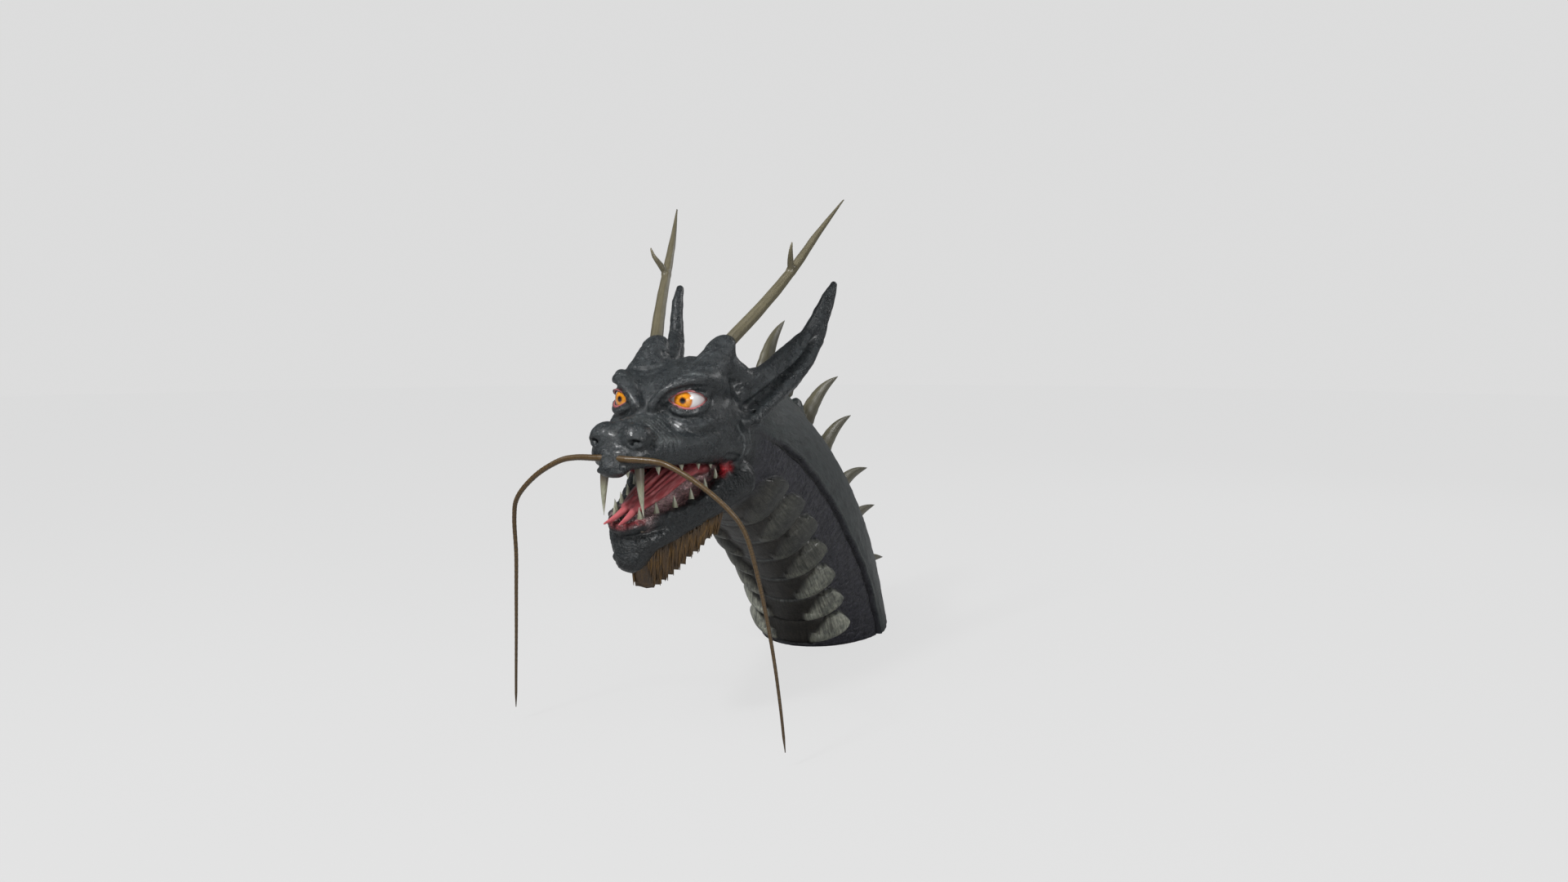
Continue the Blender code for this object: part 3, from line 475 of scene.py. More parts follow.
def browForm(p, skull):
    ridge = [
        (0.26, -0.45, -0.14, 0.16),
        (0.52, -0.30, 0.12, 0.21),
        (0.92, -0.02, 0.44, 0.25),
        (1.30, 0.38, 0.60, 0.26),
        (1.46, 1.00, 0.50, 0.22),
        (1.46, 1.80, 0.25, 0.14),
    ]
    skull = blend(skull, limb(p, ridge, 12), 0.22)
    # frown lines that run up between the brows
    for k, x in enumerate((0.07, 0.19, 0.31)):
        lift = 0.06 * k
        furrow = [
            (x * 0.8, -0.55, -0.2), (x, -0.36 + lift, 0.12), (x * 1.15, -0.12 + lift, 0.42),
            (x * 1.5, 0.3, 0.74), (x * 1.9, 0.85, 0.92)
        ]
        skull = stroke(p, skull, furrow, 0.085, 0.045, 12)
        side = [(q[0] + 0.06, q[1], q[2]) for q in furrow]
        skull = stroke(p, skull, side, 0.07, -0.045, 12)
    fold = [(0.1, -0.15, 0.98), (0.55, 0.1, 1.04), (1.0, 0.55, 1.04), (1.38, 1.2, 0.96), (1.58, 2.1, 0.78)]
    skull = stroke(p, skull, fold, 0.2, 0.10, 12)
    knob = limb(p, [(0.92, 1.4, 0.5, 0.66), (1.06, 1.80, 1.0, 0.53), (1.16, 2.12, 1.38, 0.42)], 5)
    skull = blend(skull, knob, 0.25)
    foot = limb(p, [(1.10, 0.80, 0.42, 0.42), (1.16, 1.30, 0.74, 0.44), (1.14, 1.80, 1.10, 0.42)], 5)
    skull = blend(skull, foot, 0.18)
    for along, radius in ((0.0, 0.36), (0.36, 0.33)):
        centre = (1.12 + 0.14 * along, 2.0 + 0.5 * along, 1.42 + 0.5 * along)
        skull = blend(skull, ball(p, centre, (radius + 0.06, radius + 0.04, radius - 0.1), 35), 0.14)
    # locks that curl up the knob
    for k in range(9):
        angle = 2 * np.pi * k / 9 + 0.3
        lock = []
        for t in (0, 0.35, 0.7, 1):
            bend = angle + 0.9 * t
            centre = np.array((0.94, 1.45, 0.62)) + np.array((0.24, 0.72, 0.82)) * t
            reach = 0.60 - 0.12 * t
            lock.append(
                tuple(centre + reach * np.array((np.cos(bend), 0.75 * np.sin(bend), -0.66 * np.sin(bend))))
            )
        skull = stroke(p, skull, lock, 0.09, 0.022 if k % 2 else -0.03, 10)
    return skull


def eyeOpening(p):
    # Distance to the almond between the lids, and how far out of it a point lies.
    off = p - np.array(eyeCut["middle"], np.float32)
    along = off[:, 0] * eyeCut["alongWay"][0] + off[:, 1] * eyeCut["alongWay"][1]
    out = off[:, 0] * eyeCut["alongWay"][1] - off[:, 1] * eyeCut["alongWay"][0]
    reach = np.clip(1 - (along / eyeCut["halfLength"]) ** 2, -1, 1)
    return np.maximum(np.abs(off[:, 2]) - eyeCut["halfHeight"] * reach, -0.35 - out), out


def eyeForm(p, skull):
    lids = ball(p, eyeCut["centre"], (share(eyeCut["radius"]) + 0.10,) * 3)
    skull = blend(skull, lids, 0.16)
    skull = stroke(
        p, skull, [(0.72, -0.22, -0.3), (1.0, -0.15, -0.42), (1.35, 0.12, -0.42), (1.62, 0.5, -0.25)], 0.16,
        0.07, 10
    )
    fold = [(0.9, -0.35, -0.62), (1.3, -0.1, -0.75), (1.65, 0.4, -0.68), (1.8, 1.0, -0.5)]
    skull = stroke(p, skull, fold, 0.22, 0.09, 10)
    skull = stroke(p, skull, [(q[0], q[1], q[2] - 0.28) for q in fold], 0.16, -0.06, 10)
    return skull


def earForm(p):
    # a long leaf: two edges and a web set back between them
    upper = [
        (1.45, 2.7, 0.14, 0.38),
        (1.80, 3.9, 0.66, 0.32),
        (2.08, 4.92, 1.28, 0.28),
        (2.28, 5.32, 1.60, 0.26),
        (2.46, 5.72, 1.88, 0.24),
        (2.66, 6.08, 2.48, 0.21),
        (2.82, 6.45, 3.12, 0.17),
        (2.92, 6.84, 3.55, 0.11),
    ]
    lower = [
        (1.60, 2.5, -0.55, 0.25),
        (1.92, 3.7, -0.25, 0.24),
        (2.20, 4.8, 0.28, 0.21),
        (2.47, 5.62, 0.95, 0.19),
        (2.68, 6.08, 1.72, 0.18),
        (2.79, 6.35, 2.40, 0.17),
        (2.89, 6.73, 3.10, 0.13),
        (2.94, 6.84, 3.55, 0.09),
    ]
    web = [
        (1.45, 3.0, -0.15, 0.40),
        (1.90, 4.2, 0.40, 0.36),
        (2.25, 5.1, 0.98, 0.34),
        (2.48, 5.72, 1.55, 0.30),
        (2.70, 6.18, 2.25, 0.22),
        (2.84, 6.55, 3.00, 0.14),
    ]
    ear = blend(limb(p, upper, 14), limb(p, lower, 14), 0.12)
    ear = blend(ear, limb(p, web, 12), 0.10)
    roll = [
        (1.88, 2.42, -0.72, 0.15), (2.00, 2.85, -0.60, 0.19), (2.12, 3.50, -0.26, 0.20),
        (2.26, 4.50, 0.26, 0.20), (2.54, 5.38, 0.88, 0.18), (2.75, 6.02, 1.68, 0.14)
    ]
    ear = blend(ear, limb(p, roll, 14), 0.06)
    # a groove above the roll, cut from the side
    flat = np.array((0.2, 1, 1), np.float32)
    above = [(0.2 * x, y - 0.14, z + 0.34) for x, y, z, _ in roll]
    ear = stroke(p * flat, ear, above, 0.18, -0.28, 14)
    for k in range(3):
        line = [(q[0], q[1] - 0.08 * (k + 1), q[2] + 0.19 * (k + 1)) for q in above]
        ear = stroke(p * flat, ear, line, 0.10, -0.045 if k % 2 else 0.045, 14)
    ear = blend(ear, ball(p, (2.08, 2.62, -0.66), (0.18, 0.21, 0.18)), 0.05)
    return ear


def jawForm(p):
    jaw = blend(limb(p, headCut["jawArm"], 12), ball(p, (0, 0.7, -3.45), (1.0, 2.2, 0.38), 17), 0.25)
    jaw = blend(jaw, ball(p, (0, -1.15, -4.32), (0.46, 0.62, 0.48), 25), 0.28)
    jaw = blend(jaw, limb(p, headCut["lowerLip"], 14), 0.12)
    jaw = carve(jaw, limb(p, headCut["mouthFloor"], 8, 1.65), 0.12)
    underLip = [(q[0] * 1.05, q[1] - 0.12, q[2] - 0.3) for q in headCut["lowerLip"][:-1]]
    jaw = stroke(p, jaw, underLip, 0.16, -0.03, 14)
    # a knobbly rim: one bead after another along the lower lip
    for k, (x, y, z, _) in enumerate(smoothRun(headCut["lowerLip"], 19)):
        size = 0.13 + 0.03 * np.sin(5.1 * k) + 0.02 * np.cos(2.3 * k)
        jaw = stud(p, jaw, (x + 0.04, y - 0.05, z + 0.05), (size,) * 3, 0.06)
    # the gum swells round each lower tooth
    for x, y, z in smoothRun(toothCut["lower"], toothCut["lowerCount"]):
        jaw = stud(p, jaw, (x, y, z - 0.02), (0.17, 0.17, 0.13), 0.05)
    return jaw


def headForm(p):
    skull = noseForm(p, skullForm(p))
    skull = browForm(p, skull)
    skull = eyeForm(p, skull)
    # the gum swells round each upper tooth, and a fold of flesh closes the corner of the mouth
    for x, y, z in smoothRun(toothCut["upper"], toothCut["upperCount"]):
        skull = blend(skull, ball(p, (x, y, z + 0.04), (0.15, 0.15, 0.14)), 0.05)
    flesh = limb(p, [(1.42, 1.35, -1.70, 0.12), (1.50, 1.62, -2.05, 0.15), (1.40, 1.60, -2.38, 0.12)], 6)
    return blend(skull, flesh, 0.08)


def bodyForm(p):
    # head, ears, jaw and neck in one; the grid only holds the dragon's left half
    p = p.copy()
    p[:, 0] = np.abs(p[:, 0])
    spot = neckPlace(p)
    neck = neckForm(p, spot) - neckRelief(spot, p[:, 0])
    neck = blend(neck, crestForm(p), 0.55)
    body = blend(neck, within(p, headForm, (-1, -3.2, -3.6), (3.2, 6.2, 3.2)), 0.4)
    body = blend(body, within(p, earForm, (0, 1.5, -2.0), (3.6, 7.6, 4.4)), 0.22)
    body = blend(body, ball(p, (0, 2.75, -2.35), (1.45, 0.95, 1.1)), 0.2)
    body = blend(body, within(p, jawForm, (-1, -3.2, -6.0), (3.2, 4.4, -0.6)), 0.14)
    for line, width, height in creases.values():
        body = stroke(p, body, line, width, height, 14)
    body = carve(body, eyeOpening(p)[0], 0.03)
    return np.maximum(body, -gaze[2] - p[:, 2])


def nearCells(form, low, counts, cell):
    # Values on a fine grid, worked out only near the form's surface.
    coarse = 4
    blocks = np.stack(np.meshgrid(*[np.arange(n) for n in counts], indexing="ij"), -1).reshape(-1, 3)
    rough = form((low + (blocks + 0.5) * cell * coarse).astype(np.float32))
    signs = np.where(rough < 0, -9.0, 9.0).astype(np.float32).reshape(counts)
    values = signs.repeat(coarse, 0).repeat(coarse, 1).repeat(coarse, 2)
    steps = np.stack(np.meshgrid(*[np.arange(coarse)] * 3, indexing="ij"), -1).reshape(-1, 3)
    near = blocks[np.abs(rough) < 1.7 * coarse * cell]
    cells = (near[:, None, :] * coarse + steps).reshape(-1, 3)
    values[tuple(cells.T)] = form((low + (cells + 0.5) * cell).astype(np.float32))
    return values


def openCorners():
    # For each of the 256 ways to fill a cell's corners, whether its skin would touch itself.
    touching = np.zeros(256, bool)
    for code in range(256):
        for inside in (0, 1):
            side = {k for k in range(8) if (code >> k & 1) == inside}
            if not side:
                continue
            reached = {min(side)}
            for _ in range(7):
                reached |= {k ^ bit for k in reached for bit in (1, 2, 4)} & side
            touching[code] |= reached != side
    return touching


def withoutTouching(values):
    # Fills single cells where the skin would touch itself along an edge or at a point.
    touching = openCorners()
    corners = np.array([(k & 1, k >> 1 & 1, k >> 2 & 1) for k in range(8)])
    while True:
        inside = values < 0
        codes = np.zeros(np.array(values.shape) - 1, np.uint8)
        for k, (x, y, z) in enumerate(corners):
            piece = inside[x : x + codes.shape[0], y : y + codes.shape[1], z : z + codes.shape[2]]
            codes |= piece.astype(np.uint8) << k
        cells = np.argwhere(touching[codes])
        if not len(cells):
            return values
        around = cells[:, None, :] + corners
        held = values[tuple(around.reshape(-1, 3).T)].reshape(-1, 8)
        nearest = np.where(held < 0, np.inf, held).argmin(1)
        values[tuple(around[np.arange(len(cells)), nearest].T)] = -1e-3


def skin(form, low, high, cell, half=False):
    # Points and four-sided faces of a form's surface: one point in each cell that it crosses.
    low = np.array(low, float)
    counts = np.ceil((np.array(high) - low) / (cell * 4)).astype(int) + 1
    values = nearCells(form, low, counts, cell)
    if half:
        # the left half is worked out from the middle outwards, and its mirror image put before it
        low = low - np.array((values.shape[0] * cell, 0, 0))
        values = np.concatenate([values[::-1], values])
    values = withoutTouching(values)
    shape = np.array(values.shape)
    strides = np.array([shape[1] * shape[2], shape[2], 1])
    axes = np.eye(3, dtype=int)
    faces, crossings = [], []
    for k in range(3):
        first = [slice(1, -1)] * 3
        second = [slice(1, -1)] * 3
        first[k] = slice(0, -1)
        second[k] = slice(1, None)
        crossed = (values[tuple(first)] < 0) != (values[tuple(second)] < 0)
        start = np.argwhere(crossed) + 1 - axes[k]
        va = values[tuple(start.T)]
        vb = values[tuple((start + axes[k]).T)]
        crossing = start + (va / (va - vb))[:, None] * axes[k]
        du, dv = axes[(k + 1) % 3], axes[(k + 2) % 3]
        ring = np.stack([(start - c) @ strides for c in (0 * du, du, du + dv, dv)], 1)
        faces.append(np.where((va < 0)[:, None], ring, ring[:, ::-1]))
        crossings.append(np.repeat(crossing[:, None, :], 4, 1))
    faces = np.concatenate(faces)
    crossings = np.concatenate(crossings).reshape(-1, 3)
    used, index = np.unique(faces, return_inverse=True)
    index = index.reshape(-1)
    tally = np.bincount(index)
    points = np.stack([np.bincount(index, crossings[:, k]) / tally for k in range(3)], 1)
    return low + (points + 0.5) * cell, index.reshape(-1, 4)


# Node helpers for the finishes


def tone(colour):
    return (*colour, 1.0)


def addNode(tree, kind, inputs=None, **settings):
    made = tree.nodes.new(kind)
    for key, value in settings.items():
        setattr(made, key, value)
    for key, value in (inputs or {}).items():
        if isinstance(value, bpy.types.NodeSocket):
            tree.links.new(value, made.inputs[key])
        else:
            made.inputs[key].default_value = value
    return made


def mixTone(tree, factor, first, second, way="MIX"):
    return addNode(tree, "ShaderNodeMix", {0: factor, 6: first, 7: second}, data_type="RGBA", blend_type=way).outputs[2]


def sumOf(tree, operation, first, second):
    return addNode(tree, "ShaderNodeMath", {0: first, 1: second}, operation=operation).outputs[0]


def spread(tree, value, low, high, toLow, toHigh):
    inputs = {"Value": value, "From Min": low, "From Max": high, "To Min": toLow, "To Max": toHigh}
    return addNode(tree, "ShaderNodeMapRange", inputs).outputs[0]


def grain(tree, where, scale, detail=4.0, rough=0.6, twist=0.0):
    inputs = {"Vector": where, "Scale": scale, "Detail": detail, "Roughness": rough, "Distortion": twist}
    return addNode(tree, "ShaderNodeTexNoise", inputs).outputs[0]


def pebbles(tree, where, scale, feature="F1"):
    return addNode(tree, "ShaderNodeTexVoronoi", {"Vector": where, "Scale": scale}, feature=feature).outputs[
        "Distance"
    ]


def stretched(tree, where, scale):
    return addNode(tree, "ShaderNodeMapping", {"Vector": where, "Scale": scale}).outputs[0]


def marked(tree, name, output="Fac"):
    return addNode(tree, "ShaderNodeAttribute", attribute_name=name).outputs[output]


def raised(tree, height, distance, strength=1.0, under=None):
    inputs = {"Height": height, "Distance": distance, "Strength": strength}
    if under is not None:
        inputs["Normal"] = under
    return addNode(tree, "ShaderNodeBump", inputs).outputs[0]


def newFinish(name, **fixed):
    # a material, its node tree, its shader and its own coordinates in metres
    made = bpy.data.materials.new(name)
    made.use_nodes = True
    tree = made.node_tree
    shader = tree.nodes["Principled BSDF"]
    for key, value in fixed.items():
        shader.inputs[key].default_value = value
    return made, tree, shader, addNode(tree, "ShaderNodeTexCoord").outputs["Object"]


def linkShader(tree, shader, colour, rough, normal):
    tree.links.new(colour, shader.inputs["Base Color"])
    tree.links.new(rough, shader.inputs["Roughness"])
    tree.links.new(normal, shader.inputs["Normal"])


# Geometry Nodes: a rod swept along each of a piece's lines


def groupTree(name, sockets, result):
    # a node group with named inputs and one output of geometry
    tree = bpy.data.node_groups.new(name, "GeometryNodeTree")
    for key, (kind, value) in sockets.items():
        socket = tree.interface.new_socket(key, in_out="INPUT", socket_type="NodeSocket" + kind)
        if value is not None:
            socket.default_value = value
    tree.interface.new_socket(result, in_out="OUTPUT", socket_type="NodeSocketGeometry")
    return tree, addNode(tree, "NodeGroupInput").outputs

def endTree(tree, geometry, finish):
    real = addNode(tree, "GeometryNodeRealizeInstances", {0: geometry}).outputs[0]
    smooth = addNode(tree, "GeometryNodeSetShadeSmooth", {0: real}).outputs[0]
    done = addNode(tree, "GeometryNodeSetMaterial", {"Geometry": smooth, "Material": finish}).outputs[0]
    tree.links.new(done, addNode(tree, "NodeGroupOutput").inputs[0])
    return tree

def namedValue(tree, name):
    return addNode(tree, "GeometryNodeInputNamedAttribute", {"Name": name}, data_type="FLOAT").outputs[
        "Attribute"
    ]

def sweepTree():
    sockets = {
        "Lines": ("Geometry", None), "Thickness": ("Float", 1.0), "Sides": ("Int", 8),
        "Finish": ("Material", None)
    }
    tree, given = groupTree("sweptRods", sockets, "Rods")
    curve = addNode(tree, "GeometryNodeMeshToCurve", {"Mesh": given["Lines"]}).outputs[0]
    radius = sumOf(tree, "MULTIPLY", namedValue(tree, "thick"), given["Thickness"])
    curve = addNode(tree, "GeometryNodeSetCurveRadius", {"Curve": curve, "Radius": radius}).outputs[0]
    ring = addNode(tree, "GeometryNodeCurvePrimitiveCircle", {"Resolution": given["Sides"], "Radius": 1.0}).outputs[0]
    swept = addNode(
        tree, "GeometryNodeCurveToMesh", {"Curve": curve, "Profile Curve": ring, "Fill Caps": True}
    )
    if "Scale" in swept.inputs:
        tree.links.new(radius, swept.inputs["Scale"])
    return endTree(tree, swept.outputs[0], given["Finish"])


# Geometry Nodes: beads strewn over the marked parts of a skin


def beadTree():
    sockets = {
        "Skin": ("Geometry", None), "Apart": ("Float", 0.002), "Bead": ("Float", 0.001),
        "Seed": ("Int", 5), "Finish": ("Material", None),
    }
    tree, given = groupTree("strewnBeads", sockets, "Beads")
    inputs = {
        "Mesh": given["Skin"], "Distance Min": given["Apart"], "Density Max": 900000.0,
        "Density Factor": namedValue(tree, "beads"), "Seed": given["Seed"],
    }
    strewn = addNode(tree, "GeometryNodeDistributePointsOnFaces", inputs, distribute_method="POISSON")
    bead = addNode(tree, "GeometryNodeMeshUVSphere", {"Segments": 8, "Rings": 6, "Radius": given["Bead"]}).outputs[0]
    inputs = {"Min": (0.6, 0.6, 0.35), "Max": (1.5, 1.2, 0.7), "Seed": given["Seed"]}
    vary = addNode(tree, "FunctionNodeRandomValue", inputs, data_type="FLOAT_VECTOR")
    inputs = {
        "Points": strewn.outputs["Points"], "Instance": bead,
        "Rotation": strewn.outputs["Rotation"], "Scale": vary.outputs[0],
    }
    placed = addNode(tree, "GeometryNodeInstanceOnPoints", inputs).outputs[0]
    return endTree(tree, placed, given["Finish"])


def link(obj):
    bpy.context.scene.collection.objects.link(obj)
    return obj

def evaluated(obj):
    # the object's mesh with its modifiers applied; the object itself goes
    mesh = bpy.data.meshes.new_from_object(obj.evaluated_get(bpy.context.evaluated_depsgraph_get()))
    bpy.data.objects.remove(obj)
    return mesh

def madeByNodes(name, start, tree, values):
    # runs a node tree on a start mesh and keeps its result as a plain mesh
    obj = link(bpy.data.objects.new(name, start))
    modifier = obj.modifiers.new(name, "NODES")
    modifier.node_group = tree
    for item in tree.interface.items_tree:
        if item.in_out == "INPUT" and item.name in values:
            modifier[item.identifier] = values[item.name]
    mesh = evaluated(obj)
    mesh.name = name
    return mesh


# Mesh helpers


def mark(mesh, name, values):
    kinds = {1: ("FLOAT", "value"), 3: ("FLOAT_VECTOR", "vector"), 4: ("FLOAT_COLOR", "color")}
    values = np.asarray(values, np.float32)
    kind, key = kinds[1 if values.ndim == 1 else values.shape[1]]
    layer = mesh.attributes.new(name, kind, "POINT")
    layer.data.foreach_set(key, values.ravel())


def meshOf(name, points, faces):
    mesh = bpy.data.meshes.new(name)
    mesh.from_pydata(np.asarray(points, float).tolist(), [], [list(f) for f in faces])
    return mesh

def readAll(items, name, width, kind=np.float32):
    # one value of every vertex or edge, a row each
    found = np.empty(len(items) * width, kind)
    items.foreach_get(name, found)
    return found.reshape(-1, width)

def moveAll(mesh, points):
    mesh.vertices.foreach_set("co", placeAll(points).astype(np.float32).ravel())
    mesh.update()

def faceOut(mesh, merge=0.0):
    bm = bmesh.new()
    bm.from_mesh(mesh)
    if merge:
        bmesh.ops.remove_doubles(bm, verts=bm.verts, dist=merge)
    bmesh.ops.recalc_face_normals(bm, faces=bm.faces)
    bm.to_mesh(mesh)
    bm.free()


def addPiece(name, mesh, finish, replaced):
    if finish is not None:
        mesh.materials.clear()
        mesh.materials.append(finish)
    mesh.shade_smooth()
    piece = link(bpy.data.objects.new(name, mesh))
    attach(piece, carving["body"])
    if replaced:
        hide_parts(*replaced)
    return piece


def mirrored(mesh, name):
    copy = mesh.copy()
    copy.name = name
    copy.transform(Matrix.Scale(-1, 4, Vector((1, 0, 0))))
    copy.flip_normals()
    return copy


def addPair(name, mesh, finish, node):
    for side, shape in (("Left", mesh), ("Right", mirrored(mesh, name + "Right"))):
        addPiece(name + side, shape, finish, [f"{node}_{side.lower()}"] if node else [])


def tubeOf(name, rings):
    # rings of points, closed at both ends
    count, sides = len(rings), len(rings[0])
    faces = []
    for k in range(count - 1):
        for n in range(sides):
            m = (n + 1) % sides
            faces.append((k * sides + n, k * sides + m, (k + 1) * sides + m, (k + 1) * sides + n))
    faces.append(tuple(range(sides))[::-1])
    faces.append(tuple((count - 1) * sides + n for n in range(sides)))
    mesh = meshOf(name, np.concatenate(rings), faces)
    faceOut(mesh)
    return mesh


def rod(name, run, sides, flat=1.0, sideWay=(1, 0, 0), ripple=None):
    # a tapered rod through x, y, z, radius rows in metres; ripple changes its radius by share and angle
    run = np.array(run, float)
    ways = np.gradient(run[:, :3], axis=0)
    rings = []
    for k, row in enumerate(run):
        way = ways[k] / np.linalg.norm(ways[k])
        u = np.array(sideWay) - way * np.dot(sideWay, way)
        u = u / np.linalg.norm(u)
        v = np.cross(way, u)
        angle = 2 * np.pi * np.arange(sides) / sides
        radius = row[3] * (1 + (ripple(k / (len(run) - 1), angle) if ripple else 0 * angle))
        rings.append(
            row[:3] + (np.cos(angle) * flat * radius)[:, None] * u + (np.sin(angle) * radius)[:, None] * v
        )
    mesh = tubeOf(name, rings)
    mark(mesh, "along", np.repeat(np.linspace(0, 1, len(rings)), sides))
    return mesh


def lineMesh(name, lines):
    # one mesh of open lines; each row is x, y, z and thickness in metres
    mesh = bpy.data.meshes.new(name)
    points = np.concatenate([np.array(line, float)[:, :3] for line in lines])
    edges, start = [], 0
    for line in lines:
        edges += [(start + k, start + k + 1) for k in range(len(line) - 1)]
        start += len(line)
    mesh.from_pydata(points.tolist(), edges, [])
    mark(mesh, "thick", np.concatenate([np.array(line, float)[:, 3] for line in lines]))
    mark(mesh, "along", np.concatenate([np.linspace(0, 1, len(line)) for line in lines]))
    return mesh


def rowsOf(points, radii):
    # points in units with radii in metres, as rows in metres
    return np.column_stack([placeAll(points), radii])


# The carved skin: head, ears, jaw and neck

skinCut = {
    "charcoal": (0.0135, 0.0165, 0.018),
    "brow": (0.026, 0.030, 0.032),
    "jaw": (0.005, 0.007, 0.008),
    "sideBand": (0.022, 0.022, 0.029),
    "back": (0.022, 0.028, 0.028),
    "scute": (0.125, 0.129, 0.108),
    "belly": (0.015, 0.0135, 0.011),
    # painted shade: near black, laid in the skin's creases, in the gaps between scutes and along the seam's groove
    "creaseShade": (0.004, 0.004, 0.004),
    "gum": (0.32, 0.21, 0.21),
    "palate": (0.085, 0.012, 0.015),
    "flesh": (0.33, 0.016, 0.022),
    "lid": (0.22, 0.05, 0.055),
    # painted highlight: the colour laid on ridges, on the listed crease lines and on the scutes' top edges
    "light": (0.15, 0.165, 0.165),
    # painted highlight for the arcs on the bridge of the nose
    "bridge": (0.044, 0.049, 0.050),
    "scuteLight": ([3, 6, 9, 12], [2.9, 2.2, 0.85, 0.5]),  # along the neck
    # crease lines that are painted with the painted highlight colour
    "lit": ("radiateA", "radiateB", "radiateC", "padRim", "knobFold", "crown", "browTop"),
}


def noiseAt(points, scale, seed=0.0):
    shift = Vector((seed, -seed, 2 * seed))
    return np.array([noise.noise(Vector(q) + shift) for q in (points * scale).tolist()], np.float32)


def edgeCells(points, scale):
    # nought at the edges of irregular cells, rising inside them
    found = (noise.voronoi(Vector(q))[0] for q in (points * scale).tolist())
    return np.array([d[1] - d[0] for d in found], np.float32)


def skinPlaces(q):
    # which part of the carving each point of the skin belongs to, as shares from nought to one
    p = q.astype(np.float32).copy()
    p[:, 0] = np.abs(p[:, 0])
    spot = neckPlace(p)
    inside, _, part, belly, lobe, swell, pastEnd, pastSeam = scutePlace(spot, p[:, 0])
    away = neckForm(p, spot)
    x, y, z = p.T
    onNeck = np.maximum(ramp(0.42, 0.2, away), ramp(0.85, 0.6, x) * (z > -1.0))
    neckShare = onNeck * ramp(2.9, 3.7, y + 0.25 * np.maximum(-z - 2.4, 0) - 0.8 * np.maximum(z + 0.3, 0))
    neckShare = np.maximum(neckShare, ramp(7.0, 8.0, y))
    floor = limb(p, headCut["mouthFloor"], 8, 1.65)
    palate = ball(p, (0, 0.2, -2.2), (0.85, 2.0, 0.62))
    lower = ramp(0.21, 0.09, floor) * ramp(3.0, 2.6, y) * ramp(-2.0, -2.3, z - 0.3 * (y - 1.5))
    upper = ramp(0.16, 0.06, np.abs(palate)) * ramp(-2.3, -2.15, z) * ramp(1.35, 1.2, x)
    fromThroat = np.linalg.norm((p - np.array((0.6, 2.1, -2.1))) / np.array((1.3, 1.0, 0.8)), axis=1)
    throat = ramp(0.8, 0.6, fromThroat) * ramp(1.62, 1.5, x)
    jaw = ramp(-1.95, -2.35, z - 0.21 * (y - 1.5)) * (1 - neckShare) * ramp(3.9, 3.3, y)
    ear = ramp(3.4, 4.2, y) * (1 - neckShare)
    gap, out = eyeOpening(p)
    return {
        "neck": neckShare, "inside": inside * neckShare, "part": part, "belly": belly, "lobe": lobe,
        "swell": swell, "pastEnd": pastEnd, "pastSeam": pastSeam, "lower": lower, "upper": upper,
        "throat": throat * (1 - neckShare), "jaw": jaw, "ear": ear, "lidGap": gap, "spot": spot, "out": out, "p": p,
    }


def aroundNeck(s):
    _, across, depth, width, _ = s["spot"]
    return np.arctan2(s["p"][:, 0] / width, across / depth)

def pitted(points, scale, height, floor):
    # irregular cells that stand above their edges
    return height * np.sqrt(np.clip(edgeCells(points, scale), 0, 1)) - floor

def fineRelief(q):
    # pebbled, wrinkled and lumpy skin that is too small for the forms; heights in units
    s = skinPlaces(q)
    p, neck, jaw = s["p"], s["neck"], s["jaw"]
    along, around = s["spot"][0], aroundNeck(s)
    mouth = np.maximum(s["lower"], s["upper"])
    side = neck * ramp(0.02, 0.12, s["pastEnd"]) * ramp(-0.10, -0.22, s["pastSeam"])
    height = side * pitted(np.stack([along * 4.2, around * 4.6, 0 * along], 1), 1.0, 0.075, 0.03)
    laid = np.stack([along * 2.0, around * 9.0, 0 * along + 3], 1)
    height += neck * ramp(0.15, 0.35, s["pastSeam"]) * 0.022 * noiseAt(laid, 1.0, 4.0)
    scales = pitted(q * np.array((4.5, 3.2, 7.0)), 1.0, 0.036, 0.02)
    height += jaw * (1 - mouth) * (scales + 0.02 * noiseAt(q, 3.0, 2.0))
    height += mouth * pitted(q, 8.0, 0.045, 0.02)
    height += (1 - jaw) * (1 - neck) * (0.014 * noiseAt(q, 6.0, 1.0) + 0.02 * noiseAt(q, 2.4, 5.0))
    # arcs across the bridge of the nose, round each nostril's lobe
    ring = np.linalg.norm(p - np.array((0.45, -1.72, -1.0)), axis=1) + 0.02 * noiseAt(q, 3.0, 8.0)
    arcs = ramp(0.50, 0.62, ring) * ramp(1.55, 1.1, ring) * ramp(-1.35, -1.1, p[:, 2])
    arcs = arcs * ramp(-1.7, -1.45, p[:, 1]) * ramp(0.2, 0.35, s["lidGap"])
    height += arcs * 0.055 * (np.abs(np.sin(np.pi * ring / 0.135)) ** 0.6 - 0.6)
    earRoot = s["ear"] * ramp(5.6, 4.4, p[:, 1]) * ramp(1.2, 1.5, p[:, 0])
    height += earRoot * pitted(q, 6.0, 0.012, 0)
    height += neck * (1 - s["inside"]) * 0.012 * noiseAt(q, 7.0, 9.0)
    lidEdge = ramp(0.12, 0.3, s["lidGap"]) + ramp(0.3, -0.1, s["out"])
    return height * np.clip(lidEdge, 0, 1)


